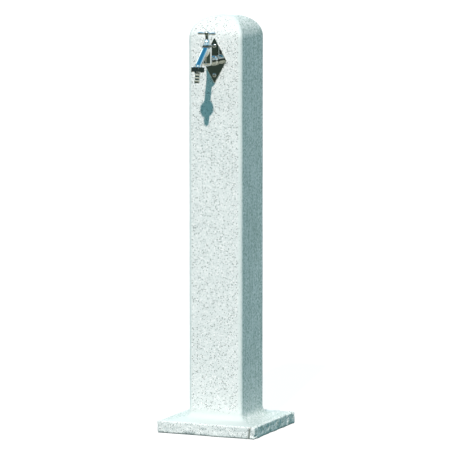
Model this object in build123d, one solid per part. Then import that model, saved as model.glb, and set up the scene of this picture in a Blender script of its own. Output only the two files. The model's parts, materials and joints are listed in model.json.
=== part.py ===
from build123d import *
import os
from math import cos, pi, radians, sin, tan

# Garden water-tap column: a hollow moulded post that stands over a screwed-down ground
# plate, with a mirror plate, a T-handle tap and a hose union on its front.
# Millimetres, +Z up. The origin is on the ground under the middle of the post, and the
# tap points along -Y. Threads are smooth cylinders at their major diameter.

# --- post casing: one rotationally moulded shell, open at the bottom
height = 1000.0            # ground to the top of the crown
post_width = 138.0         # across the square post
post_corner_r = 9.0        # vertical corners of the post
crown_r = 52.0             # rounding of the four top edges
crown_corner_gain = 0.12   # growth of the corner radius per mm that the crown draws in
crown_steps = 7            # sections that the crown is lofted through
base_width = 256.0         # across the square foot
base_corner_r = 6.0
rim_height = 28.0          # upright edge of the foot
rim_edge_r = 2.0
skirt_rise = 6.0           # how far the top of the foot climbs from its rim to the post
flare_r = 18.0             # hollow rounding between the foot and the post
shell_wall = 4.5

# --- clearances
hole_play = 1.2            # radial, tap inlet through the walls
screw_play = 0.3           # radial, screws through plain holes
thread_play = 0.05         # radial, between mating threads
slip_play = 0.5            # ground plate inside the casing's rim
running_play = 0.08        # radial, spindle in its bores
pipe_play = 0.1            # radial, pipe in its clip

# --- ground plate and the screws that lock the casing to it
ground_plate_t = 3.0
ground_plate_corner_r = 2.0
supply_hole_r = 55.0       # opening for the supply line
anchor_spacing = 170.0     # square pattern of the ground anchors
anchor_hole_r = 5.5
tab_width = 24.0
tab_height = 21.0
tab_spacing = 150.0
lock_z = 12.5              # height of the lock screws
lock_r = 3.0               # M6
lock_length = 16.0
lock_head_r = 5.25
lock_head_h = 3.3
lock_nut_af = 10.0
lock_nut_t = 5.0

# --- pipe thread sizes
half_inch_r = 10.48        # G 1/2, major radius
three_quarter_r = 13.22    # G 3/4, major radius
fitting_bore_r = 7.5       # waterway of the brass fittings
thread_depth = 13.0        # how far a pipe end screws into a fitting
socket_depth = 14.0        # depth of the fittings' female threads

# --- mirror plate, stiffening plate and their screws
tap_drop = 104.0           # tap inlet below the top of the crown
mirror_half_width = 31.0
mirror_half_height = 55.0
mirror_t = 2.0
mirror_corner_r = 1.5
mirror_screw_offset = 35.0
m5_r = 2.5
mirror_head_r = 4.8
mirror_head_h = 2.8
m5_nut_af = 8.0
m5_nut_t = 4.0
screw_point = 1.0          # screw end beyond its nut
stiffener_width = 90.0
stiffener_height = 120.0
stiffener_t = 3.0

# --- wall elbow behind the stiffening plate
elbow_flange_t = 4.0
elbow_reach = 24.0         # flange face to the axis of the riser
elbow_wall = 3.52          # brass outside the thread
elbow_drop = 28.0          # inlet axis to the end of the lower socket
elbow_screw_gap = 6.0      # elbow's body to its screws' axes
elbow_flange_rim = 6.0     # screws' axes to the flange's edge
elbow_screw_count = 3
elbow_head_r = 4.0
elbow_head_h = 2.5

# --- riser pipe, supply adapter and clip
pipe_shoulder = 0.17       # 1/2 inch steel pipe beyond its thread
pipe_bore_r = 8.05
supply_end_z = 30.0        # end of the supply thread above the ground
supply_thread = 15.0
adapter_wall = 2.97        # brass between the socket and the hexagon's flats
adapter_body = 16.0
clip_z = 140.0             # underside of the pipe clip
clip_ring_h = 12.0
clip_ring_t = 2.5
clip_strap_width = 16.0
clip_strap_height = 36.0
clip_strap_t = 3.0
clip_mouth = 15.0          # gap that the pipe snaps through
clip_screw_z = 26.0        # above the underside of the clip
clip_screw_length = 9.0
clip_head_r = 4.2
clip_head_h = 2.4
boss_r = 9.0
boss_height = 8.0
insert_r = 4.5

# --- tap body
tap_reach = 46.0           # front of the post to the tap's upright axis
barrel_r = 11.75
barrel_wall = 2.2
barrel_drop = 9.0          # inlet axis to the bottom of the barrel
barrel_rise = 35.0         # inlet axis to the top of the barrel
barrel_bottom_r = 6.5
inlet_tube_r = 9.5
inlet_bore_r = 6.5
inlet_thread = 24.0
collar_lip = 1.52          # collar beyond the inlet thread
collar_t = 7.0
collar_edge_r = 1.5
inlet_washer_t = 1.5
washer_inset = 0.5         # washers' edges inside the faces they seal
lower_chamber_r = 8.0
chamber_floor = 3.5
seat_rise = 17.0           # inlet axis to the valve seat
seat_web_t = 4.0
seat_ring_h = 2.0
seat_ring_r = 7.0
seat_bore_r = 5.5
port_r = 4.5               # way from the valve chamber to the spout
port_rise = 4.0            # seat to the axis of that way

# --- spout and hose union, measured along the outlet from the spout's bend
spout_r = 8.0
spout_bore_r = 5.8
spout_reach = 52.5         # tap axis to the bend
spout_drop = 7.0           # inlet axis to the bend
spout_pitch = 40.0         # degrees below level
spout_bend_r = 14.0
outlet_tilt = 8.7          # degrees forward of plumb
spout_root = 5.0           # tap axis to where the spout starts inside the barrel
boss_start = 1.6
boss_length = 6.5
union_af = 30.0
union_lead = 0.5           # nut above the start of the threaded boss
union_lip = 2.0
union_edge = 1.2
hose_washer_t = 2.0
tail_flange_r = 12.6
tail_flange_t = 2.0
tail_crest_r = 7.2
tail_root_r = 6.2
tail_bore_r = 4.8
tail_neck = 4.4            # plain length under the flange
tail_groove = 1.6
barb_length = 7.0
barb_crest = 1.0           # flat top of a barb
barb_count = 3

# --- headwork: bonnet, gland, spindle and valve
bonnet_gasket_t = 1.0
bonnet_skirt = 7.5
bonnet_flange_t = 5.0
flange_inset = 0.5         # barrel's width less the bonnet's hexagon across its flats
bonnet_cone_h = 6.0
bonnet_cone_r = 9.3
bonnet_top_r = 7.5
neck_height = 3.0
neck_wall = 1.1
gland_height = 7.0
gland_tip_wall = 1.3
gland_roof = 1.6
spindle_r = 4.0
spindle_thread_wall = 1.0
spindle_thread = 10.0
spindle_thread_z = 8.4     # above the spindle's lower end
valve_lift = 6.0           # travel from closed to fully open
lift_spare = 0.5           # bonnet thread above the fully raised spindle thread
spindle_lift_gap = 9.5     # gland to handle when closed
spindle_square = 5.6
seat_washer_t = 2.0
jumper_disc_t = 2.5
jumper_stem_r = 2.2
jumper_stem = 7.5
jumper_tail_r = 1.5
washer_nut_af = 5.5
washer_nut_t = 2.2
face_gap = 0.1             # spindle end to jumper

# --- T-handle
handle_length = 46.0
handle_depth = 7.2
handle_thick = 6.6
handle_end_r = 3.0
hub_r = 5.9
hub_height = 7.8
hub_edge_r = 0.8
handle_screw_r = 1.5
handle_screw_length = 8.0
handle_head_r = 3.4
handle_head_h = 2.2

# --- places worked out from the sizes above
UP = (0, 0, 1)
DOWN = (0, 0, -1)
FRONT = (0, -1, 0)
BACK = (0, 1, 0)
STANDING = (Align.CENTER, Align.CENTER, Align.MIN)
post_half = post_width / 2
base_half = base_width / 2
tap_z = height - tap_drop
front_inner_y = -post_half + shell_wall
stiffener_back_y = front_inner_y + stiffener_t
riser_y = stiffener_back_y + elbow_reach
riser_top_z = tap_z - elbow_drop + thread_depth
adapter_top_z = supply_end_z + supply_thread + adapter_body
insert_z = clip_z + clip_screw_z
tab_inner_y = base_half - shell_wall - slip_play - ground_plate_t
tab_places = (-tab_spacing / 2, tab_spacing / 2)
mirror_screw_heights = (tap_z - mirror_screw_offset, tap_z + mirror_screw_offset)
tap_y = -post_half - tap_reach
mirror_front_y = -post_half - mirror_t
washer_front_y = mirror_front_y - inlet_washer_t
barrel_top_z = tap_z + barrel_rise
barrel_bottom_z = tap_z - barrel_drop
seat_z = tap_z + seat_rise
chamber_r = barrel_r - barrel_wall
bonnet_z = barrel_top_z + bonnet_gasket_t
bonnet_cone_z = bonnet_z + bonnet_flange_t
neck_z = bonnet_cone_z + bonnet_cone_h
gland_top_z = neck_z + gland_height
jumper_z = seat_z + seat_washer_t
spindle_z = jumper_z + jumper_disc_t + face_gap
spindle_thread_r = spindle_r + spindle_thread_wall
handle_z = gland_top_z + spindle_lift_gap
outlet = Vector(0, -sin(radians(outlet_tilt)), -cos(radians(outlet_tilt)))
bend = Vector(0, tap_y - spout_reach, tap_z - spout_drop)
union_start = boss_start - union_lead
washer_at = boss_start + boss_length
flange_at = washer_at + hose_washer_t
lip_at = flange_at + tail_flange_t
half_inch_bore_r = half_inch_r + thread_play
pipe_r = half_inch_r + pipe_shoulder
adapter_af = 2 * (half_inch_bore_r + adapter_wall)
elbow_body_r = half_inch_r + elbow_wall
elbow_screw_ring_r = elbow_body_r + elbow_screw_gap
elbow_flange_r = elbow_screw_ring_r + elbow_flange_rim
collar_r = half_inch_r + collar_lip


def place(shape, origin, z_dir=UP):
    """Put a shape modelled along +Z at a point, with its +Z turned along a direction."""
    return Plane(origin=origin, x_dir=(1, 0, 0), z_dir=z_dir) * shape


def rod(radius, length, start, z_dir=UP):
    """Round bar that starts at a point."""
    bar = Cylinder(radius, length, align=STANDING)
    return place(bar, start, z_dir)


def ring(outer_r, inner_r, length, start, z_dir=UP):
    """Round bar with a hole through it."""
    return rod(outer_r, length, start, z_dir) - rod(inner_r, length, start, z_dir)


def hex_bar(across_flats, length, start, z_dir=UP):
    """Hexagonal bar that starts at a point."""
    outline = RegularPolygon(across_flats / 2, 6, major_radius=False)
    return place(extrude(outline, length), start, z_dir)


def turned(profile, start, z_dir=UP):
    """Revolve a closed outline of (radius, distance along the axis) points."""
    outline = make_face(Polyline([(r, 0, s) for r, s in profile], close=True))
    return place(revolve(outline, Axis.Z), start, z_dir)


def screw(shank_r, length, head_r, head_h, seat, z_dir):
    """Dome-headed socket screw: the head stands out of the seat along z_dir."""
    head = Cylinder(head_r, head_h, align=STANDING)
    head = fillet(head.edges().sort_by(Axis.Z)[-1], head_h * 0.8)
    socket = extrude(RegularPolygon(head_r * 0.38, 6, major_radius=False), head_h)
    head = head - Pos(0, 0, head_h * 0.45) * socket
    shank = Cylinder(shank_r, length, align=(Align.CENTER, Align.CENTER, Align.MAX))
    return place(head + shank, seat, z_dir)


def cross_hole(radius, depth, x, front_y, z):
    """Cutter for a hole that runs back along +Y from a front face."""
    return rod(radius, depth, (x, front_y, z), BACK)


def nut(across_flats, thickness, screw_r, start, z_dir):
    """Plain hexagon nut on a screw."""
    body = hex_bar(across_flats, thickness, start, z_dir)
    return body - rod(screw_r + thread_play, thickness, start, z_dir)


def square_block(width, corner_r, bottom_z, top_z):
    """Upright square block with rounded corners."""
    outline = Pos(0, 0, bottom_z) * RectangleRounded(width, width, corner_r)
    return extrude(outline, top_z - bottom_z)


def post_form(inset):
    """The outer form of the casing, drawn in by a wall thickness on every side."""
    width = post_width - 2 * inset
    corner_r = post_corner_r - inset
    round_r = crown_r - inset
    foot_z = rim_height + skirt_rise - inset
    rim_z = rim_height - inset
    foot_width = base_width - 2 * inset
    crown_z = height - crown_r
    sections = []
    for step in range(crown_steps + 1):
        turn = radians(90 * step / crown_steps)
        drawn_in = round_r * (1 - cos(turn))
        section = RectangleRounded(
            width - 2 * drawn_in, width - 2 * drawn_in, corner_r + drawn_in * crown_corner_gain
        )
        sections.append(Pos(0, 0, crown_z + round_r * sin(turn)) * section)
    crown = loft(sections)
    skirt = loft(
        [
            Pos(0, 0, rim_z) * RectangleRounded(foot_width, foot_width, base_corner_r - inset),
            Pos(0, 0, foot_z) * RectangleRounded(width, width, corner_r),
        ],
        ruled=True,
    )
    form = square_block(foot_width, base_corner_r - inset, 0, rim_z) + skirt
    form = form + square_block(width, corner_r, foot_z, crown_z)
    foot_edges = form.edges().filter_by_position(Axis.Z, foot_z - 0.01, foot_z + 0.01)
    form = fillet(foot_edges, flare_r + inset)
    return form + crown


def column_casing():
    """Hollow post with its foot, crown, clip boss and screw holes."""
    outer = post_form(0)
    rim_edges = outer.edges().filter_by_position(Axis.Z, rim_height - 0.01, rim_height + 0.01)
    outer = fillet(rim_edges, rim_edge_r)
    boss = rod(boss_r, boss_height, (0, front_inner_y, insert_z), BACK)
    casing = outer - post_form(shell_wall) + boss
    casing -= cross_hole(insert_r + thread_play, boss_height, 0, front_inner_y, insert_z)
    casing -= cross_hole(half_inch_r + hole_play, shell_wall, 0, -post_half, tap_z)
    for z in mirror_screw_heights:
        casing -= cross_hole(m5_r + screw_play, shell_wall, 0, -post_half, z)
    for x in tab_places:
        casing -= cross_hole(lock_r + screw_play, shell_wall, x, base_half - shell_wall, lock_z)
    return casing


def ground_plate():
    """Flat plate with the supply opening, anchor holes and two upturned tabs at the back."""
    width = base_width - 2 * (shell_wall + slip_play)
    plate = square_block(width, ground_plate_corner_r, 0, ground_plate_t)
    plate -= rod(supply_hole_r, ground_plate_t, (0, 0, 0))
    for x in (-anchor_spacing / 2, anchor_spacing / 2):
        for y in (-anchor_spacing / 2, anchor_spacing / 2):
            plate -= rod(anchor_hole_r, ground_plate_t, (x, y, 0))
    tab = Box(tab_width, ground_plate_t, tab_height, align=(Align.CENTER, Align.MIN, Align.MIN))
    for x in tab_places:
        plate += Pos(x, tab_inner_y, 0) * tab
        plate -= cross_hole(lock_r + screw_play, ground_plate_t, x, tab_inner_y, lock_z)
    return plate


def lock_screws():
    """Two screws through the back of the casing's rim."""
    seats = [(x, base_half, lock_z) for x in tab_places]
    return [screw(lock_r, lock_length, lock_head_r, lock_head_h, seat, BACK) for seat in seats]


def lock_nuts():
    """Two nuts welded to the tabs of the ground plate."""
    starts = [(x, tab_inner_y, lock_z) for x in tab_places]
    return [nut(lock_nut_af, lock_nut_t, lock_r, start, FRONT) for start in starts]


def mirror_plate():
    """Diamond-shaped polished plate on the front of the post."""
    right = [(0, -mirror_half_height), (mirror_half_width, 0), (0, mirror_half_height)]
    outline = make_face(Polyline(right + [(-mirror_half_width, 0)], close=True))
    outline = fillet(outline.vertices(), mirror_corner_r)
    plate = place(extrude(outline, mirror_t), (0, -post_half, tap_z), FRONT)
    plate -= cross_hole(half_inch_bore_r + screw_play, mirror_t, 0, mirror_front_y, tap_z)
    for z in mirror_screw_heights:
        plate -= cross_hole(m5_r + screw_play, mirror_t, 0, mirror_front_y, z)
    return plate


def mirror_screws():
    """Two screws that clamp the mirror plate, the post wall and the stiffening plate."""
    length = mirror_t + shell_wall + stiffener_t + m5_nut_t + screw_point
    seats = [(0, mirror_front_y, z) for z in mirror_screw_heights]
    return [screw(m5_r, length, mirror_head_r, mirror_head_h, seat, FRONT) for seat in seats]


def mirror_nuts():
    """The nuts of the mirror plate's screws, inside the post."""
    starts = [(0, stiffener_back_y, z) for z in mirror_screw_heights]
    return [nut(m5_nut_af, m5_nut_t, m5_r, start, BACK) for start in starts]


def elbow_screw_places():
    """Centres of the elbow's screws on its flange, as (x, z)."""
    step = 2 * pi / elbow_screw_count
    turns = [pi / 2 + step * (index + 0.5) for index in range(elbow_screw_count)]
    radius = elbow_screw_ring_r
    return [(radius * cos(turn), tap_z + radius * sin(turn)) for turn in turns]


def stiffener_plate():
    """Steel plate inside the front wall that carries the elbow."""
    blank = Box(stiffener_width, stiffener_t, stiffener_height)
    plate = Pos(0, front_inner_y + stiffener_t / 2, tap_z) * blank
    plate -= cross_hole(half_inch_r + hole_play, stiffener_t, 0, front_inner_y, tap_z)
    for z in mirror_screw_heights:
        plate -= cross_hole(m5_r + screw_play, stiffener_t, 0, front_inner_y, z)
    for x, z in elbow_screw_places():
        plate -= cross_hole(m5_r + thread_play, stiffener_t, x, front_inner_y, z)
    return plate


def wall_elbow():
    """Disc elbow: the tap screws into its front, the riser into its lower socket."""
    centre = (0, riser_y, tap_z)
    flange_start = (0, stiffener_back_y, tap_z)
    body = rod(elbow_flange_r, elbow_flange_t, flange_start, BACK)
    body += rod(elbow_body_r, elbow_reach, flange_start, BACK)
    body += Pos(*centre) * Sphere(elbow_body_r)
    body += rod(elbow_body_r, elbow_drop, centre, DOWN)
    body -= rod(half_inch_bore_r, socket_depth, flange_start, BACK)
    body -= rod(half_inch_bore_r, socket_depth, (0, riser_y, tap_z - elbow_drop), UP)
    body -= rod(fitting_bore_r, elbow_reach, flange_start, BACK)
    body -= Pos(*centre) * Sphere(fitting_bore_r)
    body -= rod(fitting_bore_r, elbow_drop, centre, DOWN)
    for x, z in elbow_screw_places():
        body -= cross_hole(m5_r + screw_play, elbow_flange_t, x, stiffener_back_y, z)
    return body


def elbow_screws():
    """Screws that hold the elbow to the stiffening plate."""
    seat_y = stiffener_back_y + elbow_flange_t
    length = elbow_flange_t + stiffener_t
    seats = [(x, seat_y, z) for x, z in elbow_screw_places()]
    return [screw(m5_r, length, elbow_head_r, elbow_head_h, seat, BACK) for seat in seats]


def riser_pipe():
    """Pipe from the supply adapter up to the elbow, with a thread on each end."""
    bottom_z = adapter_top_z - thread_depth
    pipe = ring(pipe_r, pipe_bore_r, riser_top_z - bottom_z, (0, riser_y, bottom_z))
    for start_z in (bottom_z, riser_top_z - thread_depth):
        pipe -= ring(2 * pipe_r, half_inch_r, thread_depth, (0, riser_y, start_z))
    return pipe


def supply_adapter():
    """Brass adapter: the supply line screws onto its lower thread."""
    thread_z = supply_end_z + supply_thread
    body = rod(half_inch_r, supply_thread, (0, riser_y, supply_end_z))
    body += hex_bar(adapter_af, adapter_body, (0, riser_y, thread_z))
    body -= rod(fitting_bore_r, supply_thread + adapter_body, (0, riser_y, supply_end_z))
    return body - rod(half_inch_bore_r, socket_depth, (0, riser_y, adapter_top_z - socket_depth))


def pipe_clip():
    """Snap clip that keeps the riser from rattling, screwed to a boss in the casing."""
    strap_y = front_inner_y + boss_height
    ring_r = pipe_r + pipe_play
    strap = Box(
        clip_strap_width, clip_strap_t, clip_strap_height, align=(Align.CENTER, Align.MIN, Align.MIN)
    )
    web_depth = riser_y - strap_y
    web = Box(clip_strap_width, web_depth, clip_ring_h, align=(Align.CENTER, Align.MIN, Align.MIN))
    body = Pos(0, strap_y, clip_z) * strap + Pos(0, strap_y, clip_z) * web
    body += rod(ring_r + clip_ring_t, clip_ring_h, (0, riser_y, clip_z))
    body -= rod(ring_r, clip_ring_h, (0, riser_y, clip_z))
    mouth = Box(clip_mouth, 2 * ring_r, clip_ring_h, align=(Align.CENTER, Align.MIN, Align.MIN))
    body -= Pos(0, riser_y, clip_z) * mouth
    return body - cross_hole(m5_r + screw_play, clip_strap_t, 0, strap_y, insert_z)


def pipe_clip_screw():
    """Screw of the pipe clip."""
    seat_y = front_inner_y + boss_height + clip_strap_t
    return screw(m5_r, clip_screw_length, clip_head_r, clip_head_h, (0, seat_y, insert_z), BACK)


def pipe_clip_insert():
    """Threaded brass insert moulded into the casing's boss."""
    start = (0, front_inner_y, insert_z)
    return ring(insert_r, m5_r + thread_play, boss_height, start, BACK)


def inlet_washer():
    """Fibre washer between the tap's collar and the mirror plate."""
    start = (0, mirror_front_y, tap_z)
    return ring(collar_r - washer_inset, half_inch_bore_r, inlet_washer_t, start, FRONT)


def spout_path():
    """Centreline of the spout: a straight run, one bend, and the short plumb outlet."""
    run = Vector(0, cos(radians(spout_pitch)), sin(radians(spout_pitch)))
    back_to_root = (spout_reach - spout_root) / cos(radians(spout_pitch))
    points = [bend + run * back_to_root, bend, bend + outlet * (boss_start + boss_length)]
    return FilletPolyline(*points, radius=spout_bend_r)


def swept_rod(radius, path):
    """Round bar along the spout's centreline."""
    return sweep(Plane(origin=path @ 0, z_dir=path % 0) * Circle(radius), path=path)


def tap_body():
    """One casting: threaded inlet, barrel with the valve seat, spout and threaded outlet."""
    path = spout_path()
    barrel = rod(barrel_r, barrel_top_z - barrel_bottom_z, (0, tap_y, barrel_bottom_z))
    barrel = fillet(barrel.edges().sort_by(Axis.Z)[0], barrel_bottom_r)
    collar = rod(collar_r, collar_t, (0, washer_front_y, tap_z), FRONT)
    collar = fillet(collar.edges().filter_by(GeomType.CIRCLE).sort_by(Axis.Y)[0], collar_edge_r)
    spout = swept_rod(spout_r, path)
    above_barrel = Box(2 * spout_r, 2 * spout_reach, spout_reach, align=STANDING)
    spout -= Pos(0, tap_y, barrel_top_z) * above_barrel
    body = barrel + collar + spout
    body += rod(inlet_tube_r, washer_front_y - tap_y, (0, tap_y, tap_z), BACK)
    body += rod(half_inch_r, inlet_thread, (0, washer_front_y, tap_z), BACK)
    body += rod(three_quarter_r, boss_length, bend + outlet * boss_start, outlet)
    web_bottom_z = seat_z - seat_ring_h - seat_web_t
    floor_z = barrel_bottom_z + chamber_floor
    body -= rod(lower_chamber_r, web_bottom_z - floor_z, (0, tap_y, floor_z))
    body -= rod(chamber_r, barrel_top_z - seat_z + seat_ring_h, (0, tap_y, seat_z - seat_ring_h))
    body += rod(seat_ring_r, seat_ring_h, (0, tap_y, seat_z - seat_ring_h))
    body -= rod(seat_bore_r, seat_ring_h + seat_web_t, (0, tap_y, web_bottom_z))
    body -= rod(inlet_bore_r, washer_front_y + inlet_thread - tap_y, (0, tap_y, tap_z), BACK)
    port_z = seat_z + port_rise
    port_length = tap_y - bend.Y - (port_z - bend.Z) / tan(radians(spout_pitch))
    body -= rod(port_r, port_length, (0, tap_y, port_z), FRONT)
    above_port = Box(2 * spout_r, 2 * spout_reach, spout_reach, align=STANDING)
    bore = swept_rod(spout_bore_r, path) - Pos(0, tap_y, port_z + port_r) * above_port
    barrel_height = barrel_top_z - barrel_bottom_z
    barrel_core = rod(chamber_r + barrel_wall / 2, barrel_height, (0, tap_y, barrel_bottom_z))
    return body - (bore - barrel_core)


def union_nut():
    """Hexagonal nut that draws the hose tail against the outlet."""
    length = lip_at + union_lip - union_start
    start = bend + outlet * union_start
    body = hex_bar(union_af, length, start, outlet)
    corner_r = union_af / (2 * cos(radians(30)))
    body &= turned(
        [
            (0, 0), (corner_r - union_edge, 0), (corner_r, union_edge * 0.6),
            (corner_r, length - union_edge * 0.6), (corner_r - union_edge, length), (0, length),
        ],
        start, outlet,
    )
    body -= rod(three_quarter_r + thread_play, lip_at - union_start, start, outlet)
    return body - rod(tail_crest_r + screw_play, length, start, outlet)


def hose_tail():
    """Barbed tail for a 1/2 inch hose, with the flange that the union nut carries."""
    profile = [(tail_bore_r, 0), (tail_flange_r, 0)]
    profile += [(tail_flange_r, tail_flange_t), (tail_crest_r, tail_flange_t)]
    along = tail_flange_t + tail_neck
    profile += [(tail_crest_r, along), (tail_root_r, along), (tail_root_r, along + tail_groove)]
    along += tail_groove
    for _ in range(barb_count):
        crest = [(tail_crest_r, along), (tail_crest_r, along + barb_crest)]
        profile += crest + [(tail_root_r, along + barb_length)]
        along += barb_length
    profile.append((tail_bore_r, along))
    return turned(profile, bend + outlet * flange_at, outlet)


def hose_washer():
    """Rubber washer between the outlet and the hose tail."""
    start = bend + outlet * washer_at
    return ring(tail_flange_r - washer_inset, spout_bore_r, hose_washer_t, start, outlet)


def bonnet_gasket():
    """Ring between the barrel and the bonnet."""
    return ring(barrel_r, chamber_r + thread_play, bonnet_gasket_t, (0, tap_y, barrel_top_z))


def bonnet():
    """Headwork that screws into the barrel and guides the spindle."""
    thread_r = chamber_r - thread_play
    skirt_z = bonnet_z - bonnet_skirt
    body = rod(thread_r, bonnet_skirt, (0, tap_y, skirt_z))
    body += hex_bar(2 * barrel_r - flange_inset, bonnet_flange_t, (0, tap_y, bonnet_z))
    cone = [(0, 0), (bonnet_cone_r, 0), (bonnet_top_r, bonnet_cone_h), (0, bonnet_cone_h)]
    body += turned(cone, (0, tap_y, bonnet_cone_z))
    body += rod(spindle_r + neck_wall, neck_height, (0, tap_y, neck_z))
    body -= rod(spindle_r + running_play, neck_z + neck_height - skirt_z, (0, tap_y, skirt_z))
    thread_top_z = spindle_z + spindle_thread_z + spindle_thread + valve_lift + lift_spare
    return body - rod(spindle_thread_r + running_play, thread_top_z - skirt_z, (0, tap_y, skirt_z))


def spindle_packing():
    """Packing ring squeezed round the spindle by the gland nut."""
    start_z = neck_z + neck_height
    thickness = gland_height - gland_roof - neck_height
    return ring(spindle_r + neck_wall, spindle_r + running_play, thickness, (0, tap_y, start_z))


def gland_nut():
    """Conical nut over the bonnet's neck."""
    tip_r = spindle_r + gland_tip_wall
    body = turned(
        [(0, 0), (bonnet_top_r, 0), (tip_r, gland_height), (0, gland_height)], (0, tap_y, neck_z)
    )
    body -= rod(spindle_r + neck_wall + thread_play, gland_height - gland_roof, (0, tap_y, neck_z))
    return body - rod(spindle_r + running_play, gland_height, (0, tap_y, neck_z))


def spindle():
    """Rising spindle: plain shank, thread and a square for the handle."""
    shank = handle_z - spindle_z
    body = rod(spindle_r, shank, (0, tap_y, spindle_z))
    body += rod(spindle_thread_r, spindle_thread, (0, tap_y, spindle_z + spindle_thread_z))
    square = Box(spindle_square, spindle_square, hub_height, align=STANDING)
    body += Pos(0, tap_y, handle_z) * square
    top_z = handle_z + hub_height
    screw_depth = handle_screw_length + screw_point
    body -= rod(handle_screw_r + thread_play, screw_depth, (0, tap_y, top_z), DOWN)
    return body - rod(jumper_stem_r + thread_play, jumper_stem + face_gap, (0, tap_y, spindle_z))


def handle():
    """T-bar with a round hub on the spindle's square."""
    bar = fillet(Box(handle_length, handle_depth, handle_thick).edges(), handle_end_r)
    body = Pos(0, tap_y, handle_z + hub_height / 2) * bar
    hub = rod(hub_r, hub_height, (0, tap_y, handle_z))
    body += fillet(hub.edges().filter_by(GeomType.CIRCLE), hub_edge_r)
    side = spindle_square + 2 * thread_play
    hole = Box(side, side, hub_height, align=STANDING)
    return body - Pos(0, tap_y, handle_z) * hole


def handle_screw():
    """Screw that holds the handle on the spindle."""
    seat = (0, tap_y, handle_z + hub_height)
    return screw(handle_screw_r, handle_screw_length, handle_head_r, handle_head_h, seat, UP)


def jumper():
    """Valve disc that the spindle presses down, with a stem up into the spindle."""
    body = rod(seat_ring_r, jumper_disc_t, (0, tap_y, jumper_z))
    body += rod(jumper_stem_r, jumper_stem, (0, tap_y, jumper_z + jumper_disc_t))
    return body + rod(jumper_tail_r, seat_washer_t + washer_nut_t, (0, tap_y, jumper_z), DOWN)


def seat_washer():
    """Rubber washer that closes on the seat."""
    return ring(seat_ring_r, jumper_tail_r + thread_play, seat_washer_t, (0, tap_y, seat_z))


def washer_nut():
    """Nut that holds the rubber washer on the jumper."""
    return nut(washer_nut_af, washer_nut_t, jumper_tail_r, (0, tap_y, seat_z), DOWN)


PIECES = (
    column_casing, ground_plate, lock_screws, lock_nuts, mirror_plate, mirror_screws, mirror_nuts,
    stiffener_plate, wall_elbow, elbow_screws, riser_pipe, supply_adapter, pipe_clip, pipe_clip_screw,
    pipe_clip_insert, inlet_washer, tap_body, bonnet_gasket, bonnet, spindle_packing, gland_nut, spindle,
    handle, handle_screw, jumper, seat_washer, washer_nut, union_nut, hose_tail, hose_washer,
)

os.makedirs("parts", exist_ok=True)
for make in PIECES:
    piece = make()
    solids = piece if isinstance(piece, list) else [piece]
    node = Compound(label=make.__name__, children=[Part(item.wrapped) for item in solids])
    export_step(node, f"parts/{make.__name__}.step")
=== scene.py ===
"""Visual model of a garden water column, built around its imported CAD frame.

A granite-look moulded post on a split-stone foot carries a diamond-shaped mirror plate and a
chromed T-handle tap with a hose union. Sizes in this file are in millimetres and are turned
to metres where a mesh is written. The frame's axes hold: +Z up, the tap points along -Y.
"""
import json
import logging
import math
from dataclasses import dataclass
from enum import Enum
from typing import Callable, Optional, Union

import bpy
import numpy as np
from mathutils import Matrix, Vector


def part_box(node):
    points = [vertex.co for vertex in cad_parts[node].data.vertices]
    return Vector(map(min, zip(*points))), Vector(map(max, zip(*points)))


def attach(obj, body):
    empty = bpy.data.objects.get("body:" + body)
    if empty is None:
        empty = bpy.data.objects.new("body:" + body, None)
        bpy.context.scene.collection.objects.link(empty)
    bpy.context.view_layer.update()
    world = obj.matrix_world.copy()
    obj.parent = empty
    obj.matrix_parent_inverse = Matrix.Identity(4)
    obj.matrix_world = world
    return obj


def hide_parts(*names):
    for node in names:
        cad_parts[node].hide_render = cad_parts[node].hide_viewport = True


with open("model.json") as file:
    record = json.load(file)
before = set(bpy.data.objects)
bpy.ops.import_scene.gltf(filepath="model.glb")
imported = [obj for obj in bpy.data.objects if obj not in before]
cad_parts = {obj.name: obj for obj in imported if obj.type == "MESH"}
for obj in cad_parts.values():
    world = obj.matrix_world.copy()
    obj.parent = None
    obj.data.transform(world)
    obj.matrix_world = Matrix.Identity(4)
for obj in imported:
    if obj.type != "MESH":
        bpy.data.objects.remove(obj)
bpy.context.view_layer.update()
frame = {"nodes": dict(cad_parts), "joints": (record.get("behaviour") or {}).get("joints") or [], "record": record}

MM = 0.001
UP = np.array((0.0, 0.0, 1.0))
FRONT = np.array((0.0, -1.0, 0.0))
TO_CORNER = 1 / math.cos(math.pi / 6)    # a hexagon's corner radius over half its flats
STRAIGHT = 0.9999                        # cosine beyond which two runs count as one line
NET_MARGIN = 2.5                         # cells of a surface net past the piece
NET_CREASE = 60                          # degrees
TURNED_CREASE = 34                       # degrees, for turned and hexagonal pieces
Array = np.ndarray
log = logging.getLogger("water_column")


class Body(Enum):
    """The CAD bodies that pieces ride on."""

    ROOT = "root"
    VALVE = "valve"
    SPINDLE = "tap_spindle"
    HOSE_END = "hose_end"
    UNION = "union"


class Slot(Enum):
    """The record's material slots."""

    SHELL = "granite_look_shell"
    ZINC = "galvanised_steel"
    MIRROR = "mirror_stainless"
    SCREW = "stainless_screw"
    CHROME = "chromed_brass"
    BRASS = "raw_brass"
    RUBBER = "black_rubber"
    CLIP = "black_polypropylene"


# ---------------------------------------------------------------- reading the frame


def node_box(node: str) -> tuple[Array, Array]:
    """Corners of a CAD node.

    Args:
        node: the CAD node's name.

    Returns:
        Its lowest and highest corner, in millimetres.
    """
    low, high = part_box(node)
    return np.array(low) / MM, np.array(high) / MM


def joint_named(name: str) -> dict:
    """The frame's joint of that name."""
    return next(joint for joint in frame["joints"] if joint["name"] == name)


# ---------------------------------------------------------------- surfaces


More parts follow.
